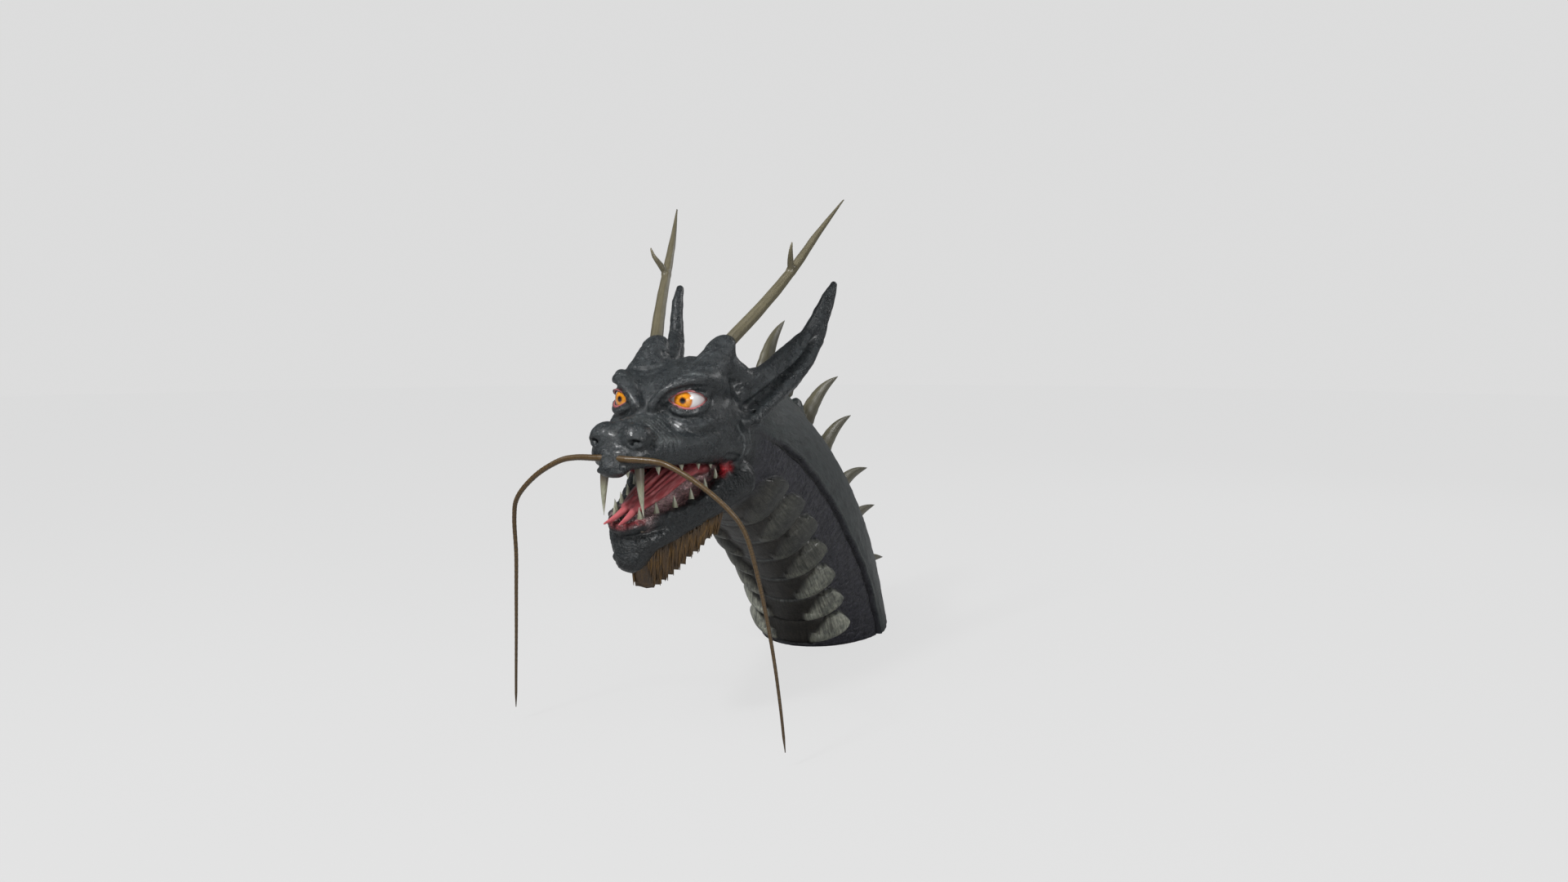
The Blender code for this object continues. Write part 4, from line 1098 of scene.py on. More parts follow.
def swells(mesh):
    # how far each point stands out from, or lies below, the points round it
    count = len(mesh.vertices)
    co = readAll(mesh.vertices, "co", 3)
    a, b = readAll(mesh.edges, "vertices", 2, np.int32).T
    tally = np.maximum(np.bincount(a, minlength=count) + np.bincount(b, minlength=count), 1)

    def around(values):
        return (np.bincount(a, values[b], count) + np.bincount(b, values[a], count)) / tally

    length = np.linalg.norm(co[a] - co[b], axis=1)
    mean = np.maximum((np.bincount(a, length, count) + np.bincount(b, length, count)) / tally, 1e-6)
    away = np.stack([around(co[:, k]) for k in range(3)], 1) - co
    bend = -(away * readAll(mesh.vertices, "normal", 3)).sum(1) / mean**2
    for _ in range(2):
        bend = 0.4 * bend + 0.6 * around(bend)
    return co, bend * 0.001


def mixed(paint, colour, amount):
    return paint + (np.array(colour) - paint) * np.clip(amount, 0, 1)[:, None]


def lineNear(p, points, width):
    # one on a line, falling to nought at its width
    run = smoothRun(points, 14)
    best = np.full(len(p), 9.0, np.float32)
    for a, b in zip(run[:-1], run[1:]):
        _, off = nearestOn(p, a, b)
        best = np.minimum(best, (off * off).sum(1) / width**2)
    return np.clip(1 - best, 0, 1)


def paintNeck(paint, s, broad):
    # side band, back, and scutes that are dark at the belly's middle and pale at their swollen ends; the paleness
    # follows each lobe's swell as a painted highlight, with a painted highlight on each scute's top edge and painted
    # shade in the gaps between scutes and along the seam
    along = s["spot"][0]
    paint = mixed(paint, skinCut["sideBand"], s["neck"] * (1 - s["inside"]))
    paint = mixed(paint, skinCut["back"], s["neck"] * ramp(0.0, 0.1, s["pastSeam"]))
    paint = mixed(paint, skinCut["belly"], s["inside"])
    # paler where each lobe swells: painted highlight on the lobes, over their own pale colour
    pale = s["lobe"] * ramp(0.1, 0.75, s["swell"]) * ramp(15.8, 14.0, along)
    scuteTone = np.array(skinCut["scute"])[None] * np.interp(along, *skinCut["scuteLight"])[:, None]
    paint = mixed(paint, scuteTone, s["inside"] * pale * (0.75 + 0.5 * broad))
    # painted highlight along the top edge of each scute
    scuteEdgeHighlight = np.exp(-(((s["part"] - 0.93) / 0.03) ** 2)) * ramp(0.75, 0.5, s["belly"])
    paint = mixed(paint, skinCut["light"], 0.45 * scuteEdgeHighlight * s["inside"])
    # painted shade in the gaps between the scutes
    gap = np.exp(-(((s["part"] - 0.985) / 0.03) ** 2)) + np.exp(-((s["part"] / 0.03) ** 2))
    paint = mixed(paint, skinCut["creaseShade"], 0.8 * gap * s["inside"])
    # painted shade along the seam's groove
    seamShade = np.exp(-(((s["pastSeam"] + 0.07) / 0.06) ** 2)) * s["neck"]
    return mixed(paint, skinCut["creaseShade"], seamShade)

def paintMouth(paint, s, q):
    # palate, speckled gums, the fold of flesh in the corner and the red rim in front; gives the fold too
    p = s["p"]
    paint = mixed(paint, skinCut["palate"], np.maximum(s["upper"], s["throat"]))
    # the gums are painted brighter towards the back and darker at the front, as painted light that evens out the shade
    # cast by the tongue and upper jaw
    front = ramp(1.6, -0.6, p[:, 1])[:, None]
    speckle = 1 + 0.8 * noiseAt(q, 11.0, 6.0)[:, None]
    paint = mixed(paint, np.array(skinCut["gum"])[None] * (1.7 - 1.35 * front) * speckle, s["lower"])
    away = np.linalg.norm((p - np.array((1.48, 1.62, -2.2))) / np.array((0.8, 1.0, 1.1)), axis=1)
    flesh = ramp(0.45, 0.15, away) * ramp(1.72, 1.62, p[:, 0])
    paint = mixed(paint, skinCut["flesh"], flesh)
    rim = lineNear(p, [(0.0, -1.86, -3.42), (0.26, -1.76, -3.38), (0.5, -1.5, -3.3)], 0.16)
    return mixed(paint, skinCut["flesh"], 0.32 * rim), flesh

def paintSkin(mesh):
    co, bend = swells(mesh)
    q = co / unit - gaze
    s = skinPlaces(q)
    p = s["p"]
    broad = noiseAt(q, 0.9, 3.0)
    paint = np.tile(np.array(skinCut["charcoal"]), (len(q), 1))
    high = ramp(-1.4, 0.6, p[:, 2] - 0.2 * p[:, 1])
    paint = mixed(paint, skinCut["brow"], 0.55 * high * (1 - s["neck"]) * (1 - s["ear"]) + 0.25 * broad)
    paint = mixed(paint, skinCut["jaw"], s["jaw"] * (0.8 + 0.4 * broad))
    paint = paintNeck(paint, s, broad)
    paint, flesh = paintMouth(paint, s, q)
    # the bridge of the nose is painted lighter on the arcs round each nostril's lobe: painted highlight
    ring = np.linalg.norm(p - np.array((0.45, -1.72, -1.0)), axis=1)
    bridge = ramp(0.45, 0.6, ring) * ramp(1.5, 1.1, ring) * ramp(-1.3, -1.05, p[:, 2]) * ramp(
        -1.8, -1.5, p[:, 1]
    )
    paint = mixed(paint, skinCut["bridge"], 0.7 * bridge)
    lid = ramp(0.03, 0.0, s["lidGap"]) * ramp(-0.35, -0.1, s["out"]) * ramp(1.42, 1.28, p[:, 0])
    paint = mixed(paint, skinCut["lid"], lid)
    # painted highlight on ridges and painted shade in creases, from how the skin bends
    offEar = 1 - 0.6 * s["ear"]
    paint = mixed(paint, skinCut["light"], 0.42 * ramp(0.06, 0.4, bend) * (1 - s["inside"]) * offEar)
    paint = mixed(paint, skinCut["creaseShade"], 0.8 * ramp(0.03, 0.3, -bend) * offEar)
    # painted highlight along the listed crease lines
    for name in skinCut["lit"]:
        paint = mixed(paint, skinCut["light"], 0.5 * lineNear(p, creases[name][0], 0.05))
    onSide = s["neck"] * (1 - s["inside"]) * ramp(0.1, -0.1, s["pastSeam"])
    around = aroundNeck(s)
    mark(mesh, "paint", np.column_stack([paint, np.ones(len(paint))]))
    mark(mesh, "wet", np.clip(np.maximum.reduce([s["lower"], s["upper"], s["throat"], flesh, lid]), 0, 1))
    mark(mesh, "rubbed", ramp(0.05, 0.4, bend))
    mark(mesh, "pebbled", np.clip(onSide + s["jaw"], 0, 1))
    mark(mesh, "striped", np.clip(s["inside"] + s["neck"] * ramp(0.0, 0.2, s["pastSeam"]), 0, 1))
    mark(mesh, "laid", np.stack([s["spot"][0] * 1.2, around * 26.0, 0 * around], 1))
    mark(mesh, "gums", s["lower"])
    mark(mesh, "beads", s["upper"] * ramp(0.2, 0.6, s["upper"]))


def skinFinish():
    made, tree, shader, here = newFinish(
        "charcoalSkin", **{"IOR": 1.42, "Coat Weight": 0.16, "Coat Roughness": 0.17}
    )
    paint = marked(tree, "paint", "Color")
    laid = marked(tree, "laid", "Vector")
    wet, striped = marked(tree, "wet"), marked(tree, "striped")
    pebbled, rubbed = marked(tree, "pebbled"), marked(tree, "rubbed")
    mottle = grain(tree, here, 95, 6, 0.68, 0.4)
    fibre = grain(tree, stretched(tree, here, (420, 210, 330)), 1.0, 4, 0.62, 1.4)
    away = addNode(tree, "ShaderNodeTexNoise", {"Vector": here, "Scale": 60.0, "Detail": 2.0}).outputs[1]
    swirled = addNode(tree, "ShaderNodeVectorMath", {0: here, 1: addNode(tree, "ShaderNodeVectorMath", {0: away, "Scale": 0.006}, operation="SCALE").outputs[0]}, operation="ADD").outputs[0]
    hide = pebbles(tree, swirled, 420, "DISTANCE_TO_EDGE")
    net = spread(tree, hide, 0.0, 0.07, 1.0, 0.0)
    streak = grain(tree, laid, 1.3, 5, 0.62, 0.3)
    cells = pebbles(tree, here, 330)
    dark = mixTone(
        tree, spread(tree, mottle, 0.35, 0.68, 0.0, 1.0), (0.55, 0.57, 0.60, 1), (1.45, 1.43, 1.40, 1)
    )
    colour = mixTone(tree, 1.0, paint, dark, "MULTIPLY")
    thread = mixTone(
        tree, spread(tree, fibre, 0.54, 0.68, 0.0, 1.0), (0.82, 0.82, 0.82, 1), (3.2, 3.2, 3.2, 1)
    )
    colour = mixTone(
        tree, spread(tree, striped, 0, 1, 0.7, 0.15), colour, mixTone(tree, 1.0, colour, thread, "MULTIPLY")
    )
    lines = mixTone(
        tree, spread(tree, streak, 0.38, 0.62, 0.0, 1.0), (0.55, 0.55, 0.55, 1), (1.5, 1.5, 1.48, 1)
    )
    colour = mixTone(tree, striped, colour, mixTone(tree, 1.0, colour, lines, "MULTIPLY"))
    spots = mixTone(
        tree, spread(tree, cells, 0.0, 0.7, 0.0, 1.0), (1.35, 1.35, 1.38, 1), (0.55, 0.55, 0.55, 1)
    )
    colour = mixTone(
        tree, sumOf(tree, "MULTIPLY", pebbled, 0.8), colour, mixTone(tree, 1.0, colour, spots, "MULTIPLY")
    )
    colour = mixTone(tree, sumOf(tree, "MULTIPLY", net, marked(tree, "gums")), colour, (0.52, 0.38, 0.38, 1))
    rough = spread(tree, mottle, 0.3, 0.7, 0.20, 0.38)
    rough = sumOf(tree, "ADD", rough, sumOf(tree, "MULTIPLY", striped, 0.14))
    rough = sumOf(tree, "ADD", rough, sumOf(tree, "MULTIPLY", pebbled, 0.08))
    rough = sumOf(tree, "SUBTRACT", rough, sumOf(tree, "MULTIPLY", wet, 0.14))
    rough = sumOf(tree, "SUBTRACT", rough, sumOf(tree, "MULTIPLY", rubbed, 0.08))
    fine = raised(tree, grain(tree, here, 430, 4, 0.65), 0.0007, 0.8)
    fine = raised(tree, spread(tree, hide, 0.0, 0.12, 0.0, 1.0), 0.0005, 0.35, fine)
    fine = raised(tree, fibre, 0.0016, 0.7, fine)
    fine = raised(tree, sumOf(tree, "MULTIPLY", streak, striped), 0.0014, 0.7, fine)
    fine = raised(tree, sumOf(tree, "MULTIPLY", cells, pebbled), 0.0012, 0.6, fine)
    linkShader(tree, shader, colour, rough, fine)
    return made


def makeSkin():
    cell = share(carving["cell"])
    points, faces = skin(bodyForm, (0, -3.0, -10.6), (3.5, 18.4, 4.3), cell, True)
    print("skin worked out:", len(points), "points")
    mesh = meshOf("carvedSkin", placeAll(points), faces)
    moved = points + readAll(mesh.vertices, "normal", 3) * fineRelief(points)[:, None]
    # the cut end stays flat
    base = -gaze[2]
    moved[:, 2] = np.maximum(moved[:, 2], base)
    moved[points[:, 2] < base + 0.03, 2] = base
    moveAll(mesh, moved)
    obj = link(bpy.data.objects.new("rawSkin", mesh))
    fewer = obj.modifiers.new("fewer", "DECIMATE")
    fewer.ratio = min(1.0, carving["triangles"] / (2 * len(faces)))
    mesh = evaluated(obj)
    mesh.name = "carvedSkin"
    kept = ("position", ".edge_verts", ".corner_vert", ".corner_edge", "material_index", "sharp_face")
    for layer in list(mesh.attributes):
        if layer.name not in kept:
            mesh.attributes.remove(layer)
    print("skin thinned:", len(mesh.polygons), "faces")
    paintSkin(mesh)
    return addPiece("carvedHeadAndNeck", mesh, skinFinish(), ["head_neck"])


def beadFinish():
    made, tree, shader, here = newFinish(
        "wetBeads", **{"IOR": 1.4, "Coat Weight": 0.5, "Coat Roughness": 0.12}
    )
    colour = mixTone(tree, grain(tree, here, 300, 3), (0.05, 0.006, 0.008, 1), (0.30, 0.03, 0.035, 1))
    linkShader(
        tree, shader, colour, spread(tree, grain(tree, here, 150, 2), 0.3, 0.7, 0.2, 0.4),
        raised(tree, grain(tree, here, 900, 3), 0.0002, 0.5)
    )
    return made


def makeBeads(skinPiece):
    mesh = madeByNodes(
        "palateBeads", skinPiece.data.copy(), beadTree(),
        {"Apart": 0.0021, "Bead": 0.00105, "Seed": 11, "Finish": beadFinish()}
    )
    if len(mesh.vertices):
        addPiece("palateBeads", mesh, None, [])


# Eyes and lids

eyeLook = {
    "iris": 0.49,  # radians from the middle of the pupil
    "pupil": 0.125,
    "swell": 0.0007,
    "rimThick": 0.00065,
    "amber": (0.58, 0.24, 0.008),
    "amberEdge": (0.40, 0.12, 0.006),
    "white": (0.56, 0.56, 0.56),
}


def eyeFinish():
    fixed = {"IOR": 1.45, "Coat Weight": 0.9, "Coat Roughness": 0.03, "Roughness": 0.16}
    made, tree, shader, here = newFinish("glassEye", **fixed)
    away = marked(tree, "away")
    rays = grain(tree, stretched(tree, marked(tree, "rays", "Vector"), (1, 1, 1)), 9.0, 3, 0.6)
    ring = spread(tree, away, eyeLook["pupil"], eyeLook["iris"], 0.0, 1.0)
    amber = mixTone(
        tree,
        spread(tree, sumOf(tree, "ADD", ring, spread(tree, rays, 0.3, 0.7, -0.2, 0.2)), 0.55, 1.0, 0.0, 1.0),
        tone(eyeLook["amber"]), tone(eyeLook["amberEdge"])
    )
    glow = mixTone(tree, spread(tree, rays, 0.35, 0.65, 0, 1), (0.75, 0.7, 0.6, 1), (1.3, 1.2, 1.1, 1))
    amber = mixTone(tree, 1.0, amber, glow, "MULTIPLY")
    veins = spread(tree, pebbles(tree, here, 240, "DISTANCE_TO_EDGE"), 0.0, 0.03, 0.25, 0.0)
    white = mixTone(tree, veins, tone(eyeLook["white"]), (0.75, 0.30, 0.25, 1))
    white = mixTone(tree, spread(tree, away, 0.9, 1.6, 0.0, 0.6), white, (0.62, 0.32, 0.30, 1))
    colour = mixTone(
        tree, spread(tree, away, eyeLook["iris"] - 0.02, eyeLook["iris"] + 0.05, 0, 1), amber, white
    )
    brown = spread(tree, away, eyeLook["pupil"] + 0.02, eyeLook["pupil"] + 0.09, 0, 1)
    colour = mixTone(tree, brown, (0.14, 0.035, 0.004, 1), colour)
    colour = mixTone(
        tree, spread(tree, away, eyeLook["pupil"] - 0.02, eyeLook["pupil"] + 0.015, 0, 1),
        (0.004, 0.003, 0.003, 1), colour
    )
    rough = spread(tree, grain(tree, here, 200, 3), 0.3, 0.7, 0.10, 0.2)
    linkShader(tree, shader, colour, rough, raised(tree, veins, 0.0001, 0.3))
    return made


def makeEyes():
    segments, rings = 64, 40
    look = Vector(eyeCut["gazeWay"]).normalized()
    turn = look.to_track_quat("Z", "Y").to_matrix()
    points, away, rays = [], [], []
    centre = place(eyeCut["centre"])
    for k in range(rings + 1):
        angle = np.pi * k / rings
        for n in range(segments):
            spin = 2 * np.pi * n / segments
            radius = eyeCut["radius"] + eyeLook["swell"] * np.exp(-((angle / 0.42) ** 2)) - eyeLook["swell"]
            out = Vector((np.sin(angle) * np.cos(spin), np.sin(angle) * np.sin(spin), np.cos(angle)))
            points.append(centre + turn @ (out * radius))
            away.append(angle)
            rays.append((np.cos(spin) * 1.6, np.sin(spin) * 1.6, angle * 0.25))
    faces = []
    for k in range(rings):
        for n in range(segments):
            m = (n + 1) % segments
            faces.append((k * segments + n, (k + 1) * segments + n, (k + 1) * segments + m, k * segments + m))
    mesh = meshOf("eye", [tuple(q) for q in points], faces)
    mark(mesh, "away", away)
    mark(mesh, "rays", rays)
    faceOut(mesh, 1e-6)
    addPair("eye", mesh, eyeFinish(), "eye")


def lidFinish():
    made, tree, shader, here = newFinish(
        "wetLid", **{"IOR": 1.42, "Coat Weight": 0.4, "Coat Roughness": 0.15}
    )
    spot = grain(tree, here, 500, 3)
    colour = mixTone(tree, spot, (0.30, 0.06, 0.065, 1), (0.48, 0.17, 0.17, 1))
    linkShader(
        tree, shader, colour, spread(tree, spot, 0.3, 0.7, 0.25, 0.45), raised(tree, spot, 0.0003, 0.5)
    )
    return made


def lidLine(wider, reach, side):
    # a line along the lid's edge, on a ball a little larger than the eye
    rows = []
    for t in np.linspace(-1, 1, 25):
        along = t * eyeCut["halfLength"] * wider
        up = side * eyeCut["halfHeight"] * (1 - t * t) * wider
        middle = np.array(eyeCut["middle"]) + np.array(
            (eyeCut["alongWay"][0] * along, eyeCut["alongWay"][1] * along, up)
        )
        out = np.array((eyeCut["alongWay"][1], -eyeCut["alongWay"][0], 0))
        off = middle - np.array(eyeCut["centre"])
        b = off @ out
        c = off @ off - reach**2
        root = np.sqrt(max(b * b - c, 0.0))
        rows.append(middle + out * (-b + root))
    return np.array(rows)


def makeLids():
    lines = []
    for wider, reach, thick in ((0.97, 0.035, 1.0), (1.05, 0.07, 0.55)):
        for side in (1, -1):
            run = lidLine(wider, share(eyeCut["radius"]) + reach, side)
            taper = 0.45 + 0.55 * np.sin(np.pi * np.linspace(0.02, 0.98, len(run)))
            lines.append(rowsOf(run, thick * eyeLook["rimThick"] * taper))
    mesh = madeByNodes(
        "lidRims", lineMesh("lidRims", lines), sweepTree(),
        {"Sides": 10, "Thickness": 1.0, "Finish": lidFinish()}
    )
    addPair("lidRims", mesh, None, None)


# Teeth

toothCut = {
    "upper": [
        (0.30, -1.86, -1.74), (0.82, -1.1, -1.72), (1.05, -0.2, -1.74), (1.16, 0.6, -1.78), (1.24, 1.2, -1.84)
    ],
    "upperCount": 5,
    "upperLength": 0.0110,
    "lower": [
        (0.40, -1.46, -3.36), (0.66, -1.0, -3.24), (0.88, -0.35, -3.13), (1.06, 0.3, -2.98),
        (1.20, 0.9, -2.76), (1.31, 1.35, -2.49)
    ],
    "lowerCount": 6,
    "lowerLength": 0.0160,
    "radius": 0.0047,
    "fangRoot": (0.56, -1.66, -1.80),
    "fangTip": (0.65, -1.63, -3.18),
    "fangRadius": 0.0052,
    "letIn": 0.009,
}


def toothFinish():
    made, tree, shader, here = newFinish(
        "oldIvory",
        **{
            "IOR": 1.5, "Coat Weight": 0.35, "Coat Roughness": 0.18, "Subsurface Weight": 0.08,
            "Subsurface Radius": (0.004, 0.003, 0.002)
        }
    )
    along = marked(tree, "along")
    streak = grain(tree, stretched(tree, here, (900, 900, 90)), 1.0, 4, 0.6)
    colour = mixTone(
        tree, spread(tree, along, 0.35, 0.95, 0, 1), (0.17, 0.165, 0.11, 1), (0.38, 0.38, 0.31, 1)
    )
    colour = mixTone(tree, spread(tree, streak, 0.40, 0.62, 0.65, 0.0), colour, (0.10, 0.105, 0.05, 1))
    colour = mixTone(tree, spread(tree, along, 0.35, 0.5, 0.8, 0.0), colour, (0.08, 0.06, 0.045, 1))
    rough = spread(tree, streak, 0.3, 0.7, 0.28, 0.48)
    linkShader(tree, shader, colour, rough, raised(tree, streak, 0.0004, 0.6))
    return made


def toothShape(name, gum, way, length, radius, bow=0.0, seed=0):
    gum = np.array(gum, float)
    way = np.array(way, float) / np.linalg.norm(way)
    rows = []
    for t in np.linspace(0, 1, 22):
        reach = -share(toothCut["letIn"]) + t * share(toothCut["letIn"] + length)
        middle = gum + way * reach + np.array((0, bow, 0)) * np.sin(np.pi * t)
        rows.append((*middle, max(radius * (1 - t**1.7) ** 0.95, 0.0002)))
    rows = np.array(rows)

    def ripple(t, angle):
        return 0.07 * np.sin(5 * angle + seed) * (1 - t) + 0.035 * np.sin(9 * angle + 2 * seed) * (1 - t)

    return rod(name, rowsOf(rows[:, :3], rows[:, 3]), 20, 0.82, (0, 1, 0), ripple)


def makeTeeth():
    finish = toothFinish()
    root, tip = np.array(toothCut["fangRoot"]), np.array(toothCut["fangTip"])
    length = np.linalg.norm(tip - root) * unit
    addPair(
        "fang", toothShape("fang", root, tip - root, length, toothCut["fangRadius"], -0.05, 1), finish,
        "fang"
    )
    for k, gum in enumerate(smoothRun(toothCut["upper"], toothCut["upperCount"])):
        length = toothCut["upperLength"] * np.interp(k / 4, [0, 1], [1.1, 0.8])
        shape = toothShape(f"upperTooth{k + 1}", gum, (0.05, -0.05, -1), length, toothCut["radius"], -0.03, k)
        addPair(f"upperTooth{k + 1}", shape, finish, f"upper_tooth_{k + 1}")
    for k, gum in enumerate(smoothRun(toothCut["lower"], toothCut["lowerCount"])):
        shape = toothShape(
            f"lowerTooth{k + 1}", gum, (0.03, -0.1, 1), toothCut["lowerLength"], toothCut["radius"], 0.04,
            k + 7
        )
        addPair(f"lowerTooth{k + 1}", shape, finish, f"lower_tooth_{k + 1}")


# Tongue

tongueCut = {
    "line": [(0, 2.3, -2.34), (0, 1.5, -2.17), (0, 0.6, -2.38), (0, -0.4, -2.73), (0, -1.15, -2.98)],
    "width": 0.0570,
    "thick": 0.0140,
    "shares": ([0, 0.3, 0.7, 1], [0.9, 1.0, 0.8, 0.5]),
    "prong": [
        (0.10, -0.85, -2.9, 0.56), (0.16, -1.35, -3.05, 0.30), (0.2, -1.8, -3.2, 0.19),
        (0.24, -2.25, -3.30, 0.07)
    ],
    "cell": 0.026,
}


def tongueForm(p):
    p = p.copy()
    p[:, 0] = np.abs(p[:, 0])
    path = smoothRun(tongueCut["line"], 12)
    widths = np.interp(np.linspace(0, 1, len(path)), *tongueCut["shares"])
    body = np.full(len(p), 9.0, np.float32)
    halfWidth, halfThick = share(tongueCut["width"]) / 2, share(tongueCut["thick"]) / 2
    for k in range(len(path) - 1):
        # each stretch is a flat oval rod
        t, off = nearestOn(p * np.array((0, 1, 1), np.float32), path[k], path[k + 1])
        w = widths[k] + (widths[k + 1] - widths[k]) * t
        deep = np.sqrt((off * off).sum(1))
        across = p[:, 0] / (w * halfWidth)
        high = deep / ((0.5 + 0.5 * w) * halfThick)
        body = np.minimum(body, (np.sqrt(across**2 + high**2) - 1) * halfThick)
    prong = [(*row[:3], row[3] * share(tongueCut["thick"])) for row in smoothRun(tongueCut["prong"], 9)]
    body = blend(body, limb(p, prong), 0.05)
    top = [(x, y, z + 0.16) for x, y, z in tongueCut["line"]]
    body = stroke(p, body, top, 0.16, -0.12, 16)
    for x, height in ((0.15, 0.04), (0.27, -0.035), (0.36, 0.03), (0.46, -0.03)):
        line = [
            (x * w, y, z + 0.15 - 0.25 * x * x) for (_, y, z),
            w in zip(tongueCut["line"], (0.9, 1, 0.95, 0.75, 0.5))
        ]
        body = stroke(p, body, line, 0.085, height, 16)
    # two round lobes at the root
    return blend(body, ball(p, (0.46, 1.75, -2.12), (0.38, 0.55, 0.27)), 0.08)


def tongueFinish():
    made, tree, shader, here = newFinish(
        "redTongue",
        **{
            "IOR": 1.42, "Coat Weight": 0.3, "Coat Roughness": 0.22, "Subsurface Weight": 0.08,
            "Subsurface Radius": (0.008, 0.003, 0.002)
        }
    )
    streak = grain(tree, stretched(tree, here, (520, 45, 60)), 1.0, 5, 0.6, 0.4)
    tip = marked(tree, "toTip")
    colour = mixTone(
        tree, spread(tree, streak, 0.42, 0.66, 0, 1), (0.26, 0.052, 0.057, 1), (0.38, 0.13, 0.135, 1)
    )
    colour = mixTone(tree, sumOf(tree, "MULTIPLY", tip, 0.7), colour, (0.42, 0.095, 0.105, 1))
    # painted shade in the tongue's hollows
    colour = mixTone(tree, marked(tree, "low"), colour, (0.08, 0.012, 0.014, 1))
    dots = pebbles(tree, here, 700)
    rough = spread(tree, streak, 0.3, 0.7, 0.30, 0.48)
    linkShader(
        tree, shader, colour, rough, raised(tree, dots, 0.0003, 0.35, raised(tree, streak, 0.0007, 0.6))
    )
    return made


def makeTongue():
    points, faces = skin(
        tongueForm, (0, -2.6, -3.7), (1.05, 2.8, -1.6), tongueCut["cell"] * (1), True
    )
    mesh = meshOf("tongue", placeAll(points), faces)
    _, bend = swells(mesh)
    mark(mesh, "toTip", ramp(-0.7, -1.6, points[:, 1]))
    # painted shade in the tongue's hollows, from how its skin bends
    mark(mesh, "low", np.clip(0.8 * ramp(0.1, 0.6, -bend), 0, 1))
    addPiece("tongue", mesh, tongueFinish(), ["tongue"])


# Antlers and spines

antlerCut = {
    "beam": [
        (1.06, 1.85, 1.20, 1.05),
        (1.32, 2.46, 1.76, 1.0),
        (1.84, 3.62, 2.80, 0.86),
        (2.30, 4.82, 3.93, 0.72),
        (2.70, 5.95, 5.15, 0.48),
        (3.17, 7.10, 6.37, 0.08),
    ],
    "tine": [
        (2.28, 4.78, 3.9, 1.0), (2.36, 4.55, 4.2, 0.78), (2.48, 4.3, 4.5, 0.45), (2.55, 4.23, 4.76, 0.12)
    ],
    "beamRadius": 0.0070,
    "tineRadius": 0.0040,
    "cell": 0.030,
}


def antlerForm(p):
    beam = [(*row[:3], row[3] * share(antlerCut["beamRadius"])) for row in smoothRun(antlerCut["beam"], 22)]
    tine = [(*row[:3], row[3] * share(antlerCut["tineRadius"])) for row in smoothRun(antlerCut["tine"], 9)]
    return blend(limb(p, beam), limb(p, tine), 0.10)


def hornFinish(name, dark, pale):
    made, tree, shader, here = newFinish(name, **{"IOR": 1.5, "Coat Weight": 0.15, "Coat Roughness": 0.3})
    along = marked(tree, "along")
    laid = marked(tree, "laid", "Vector")
    streak = grain(tree, laid, 1.0, 5, 0.62, 0.3)
    speckle = grain(tree, here, 520, 5, 0.7)
    blotch = grain(tree, here, 70, 3, 0.6)
    colour = mixTone(tree, spread(tree, streak, 0.36, 0.64, 0, 1), tone(dark), tone(pale))
    colour = mixTone(tree, spread(tree, speckle, 0.56, 0.68, 0, 0.35), colour, (0.035, 0.028, 0.015, 1))
    colour = mixTone(tree, spread(tree, blotch, 0.45, 0.7, 0, 0.2), colour, (0.15, 0.13, 0.085, 1))
    colour = mixTone(tree, spread(tree, along, 0.0, 0.28, 0.75, 0.0), colour, (0.030, 0.026, 0.016, 1))
    rough = spread(tree, speckle, 0.3, 0.7, 0.34, 0.55)
    fine = raised(tree, streak, 0.0010, 0.6)
    linkShader(tree, shader, colour, rough, raised(tree, speckle, 0.0004, 0.5, fine))
    return made


def makeAntlers():
    cell = antlerCut["cell"] * 1
    points, faces = skin(antlerForm, (0.7, 1.4, 0.8), (3.5, 7.5, 6.8), cell)
    run = smoothRun(antlerCut["beam"], 40)[:, :3]
    gaps = np.linalg.norm(points[:, None, :] - run[None], axis=2)
    nearest = gaps.argmin(1)
    along = nearest / (len(run) - 1)
    way = (run[-1] - run[0]) / np.linalg.norm(run[-1] - run[0])
    u = np.cross(way, (0, 0, 1.0))
    u = u / np.linalg.norm(u)
    v = np.cross(way, u)
    off = points - run[nearest]
    angle = np.arctan2(off @ v, off @ u)
    # ridges along the beam, and low knots
    ridge = 0.006 * np.sin(7 * angle + 6 * along) + 0.003 * np.sin(13 * angle - 9 * along)
    ridge = (ridge + 0.012 * noiseAt(points, 2.0, 2.0)) * ramp(1.0, 0.7, along) + 0.012
    mesh = meshOf("antler", placeAll(points), faces)
    moveAll(mesh, points + readAll(mesh.vertices, "normal", 3) * ridge[:, None])
    mark(mesh, "along", along)
    mark(mesh, "laid", np.stack([np.cos(angle) * 7, np.sin(angle) * 7, points @ way * 1.6], 1))
    addPair(
        "antler", mesh, hornFinish("oliveHorn", (0.070, 0.061, 0.034), (0.115, 0.100, 0.058)), "antler",
    )


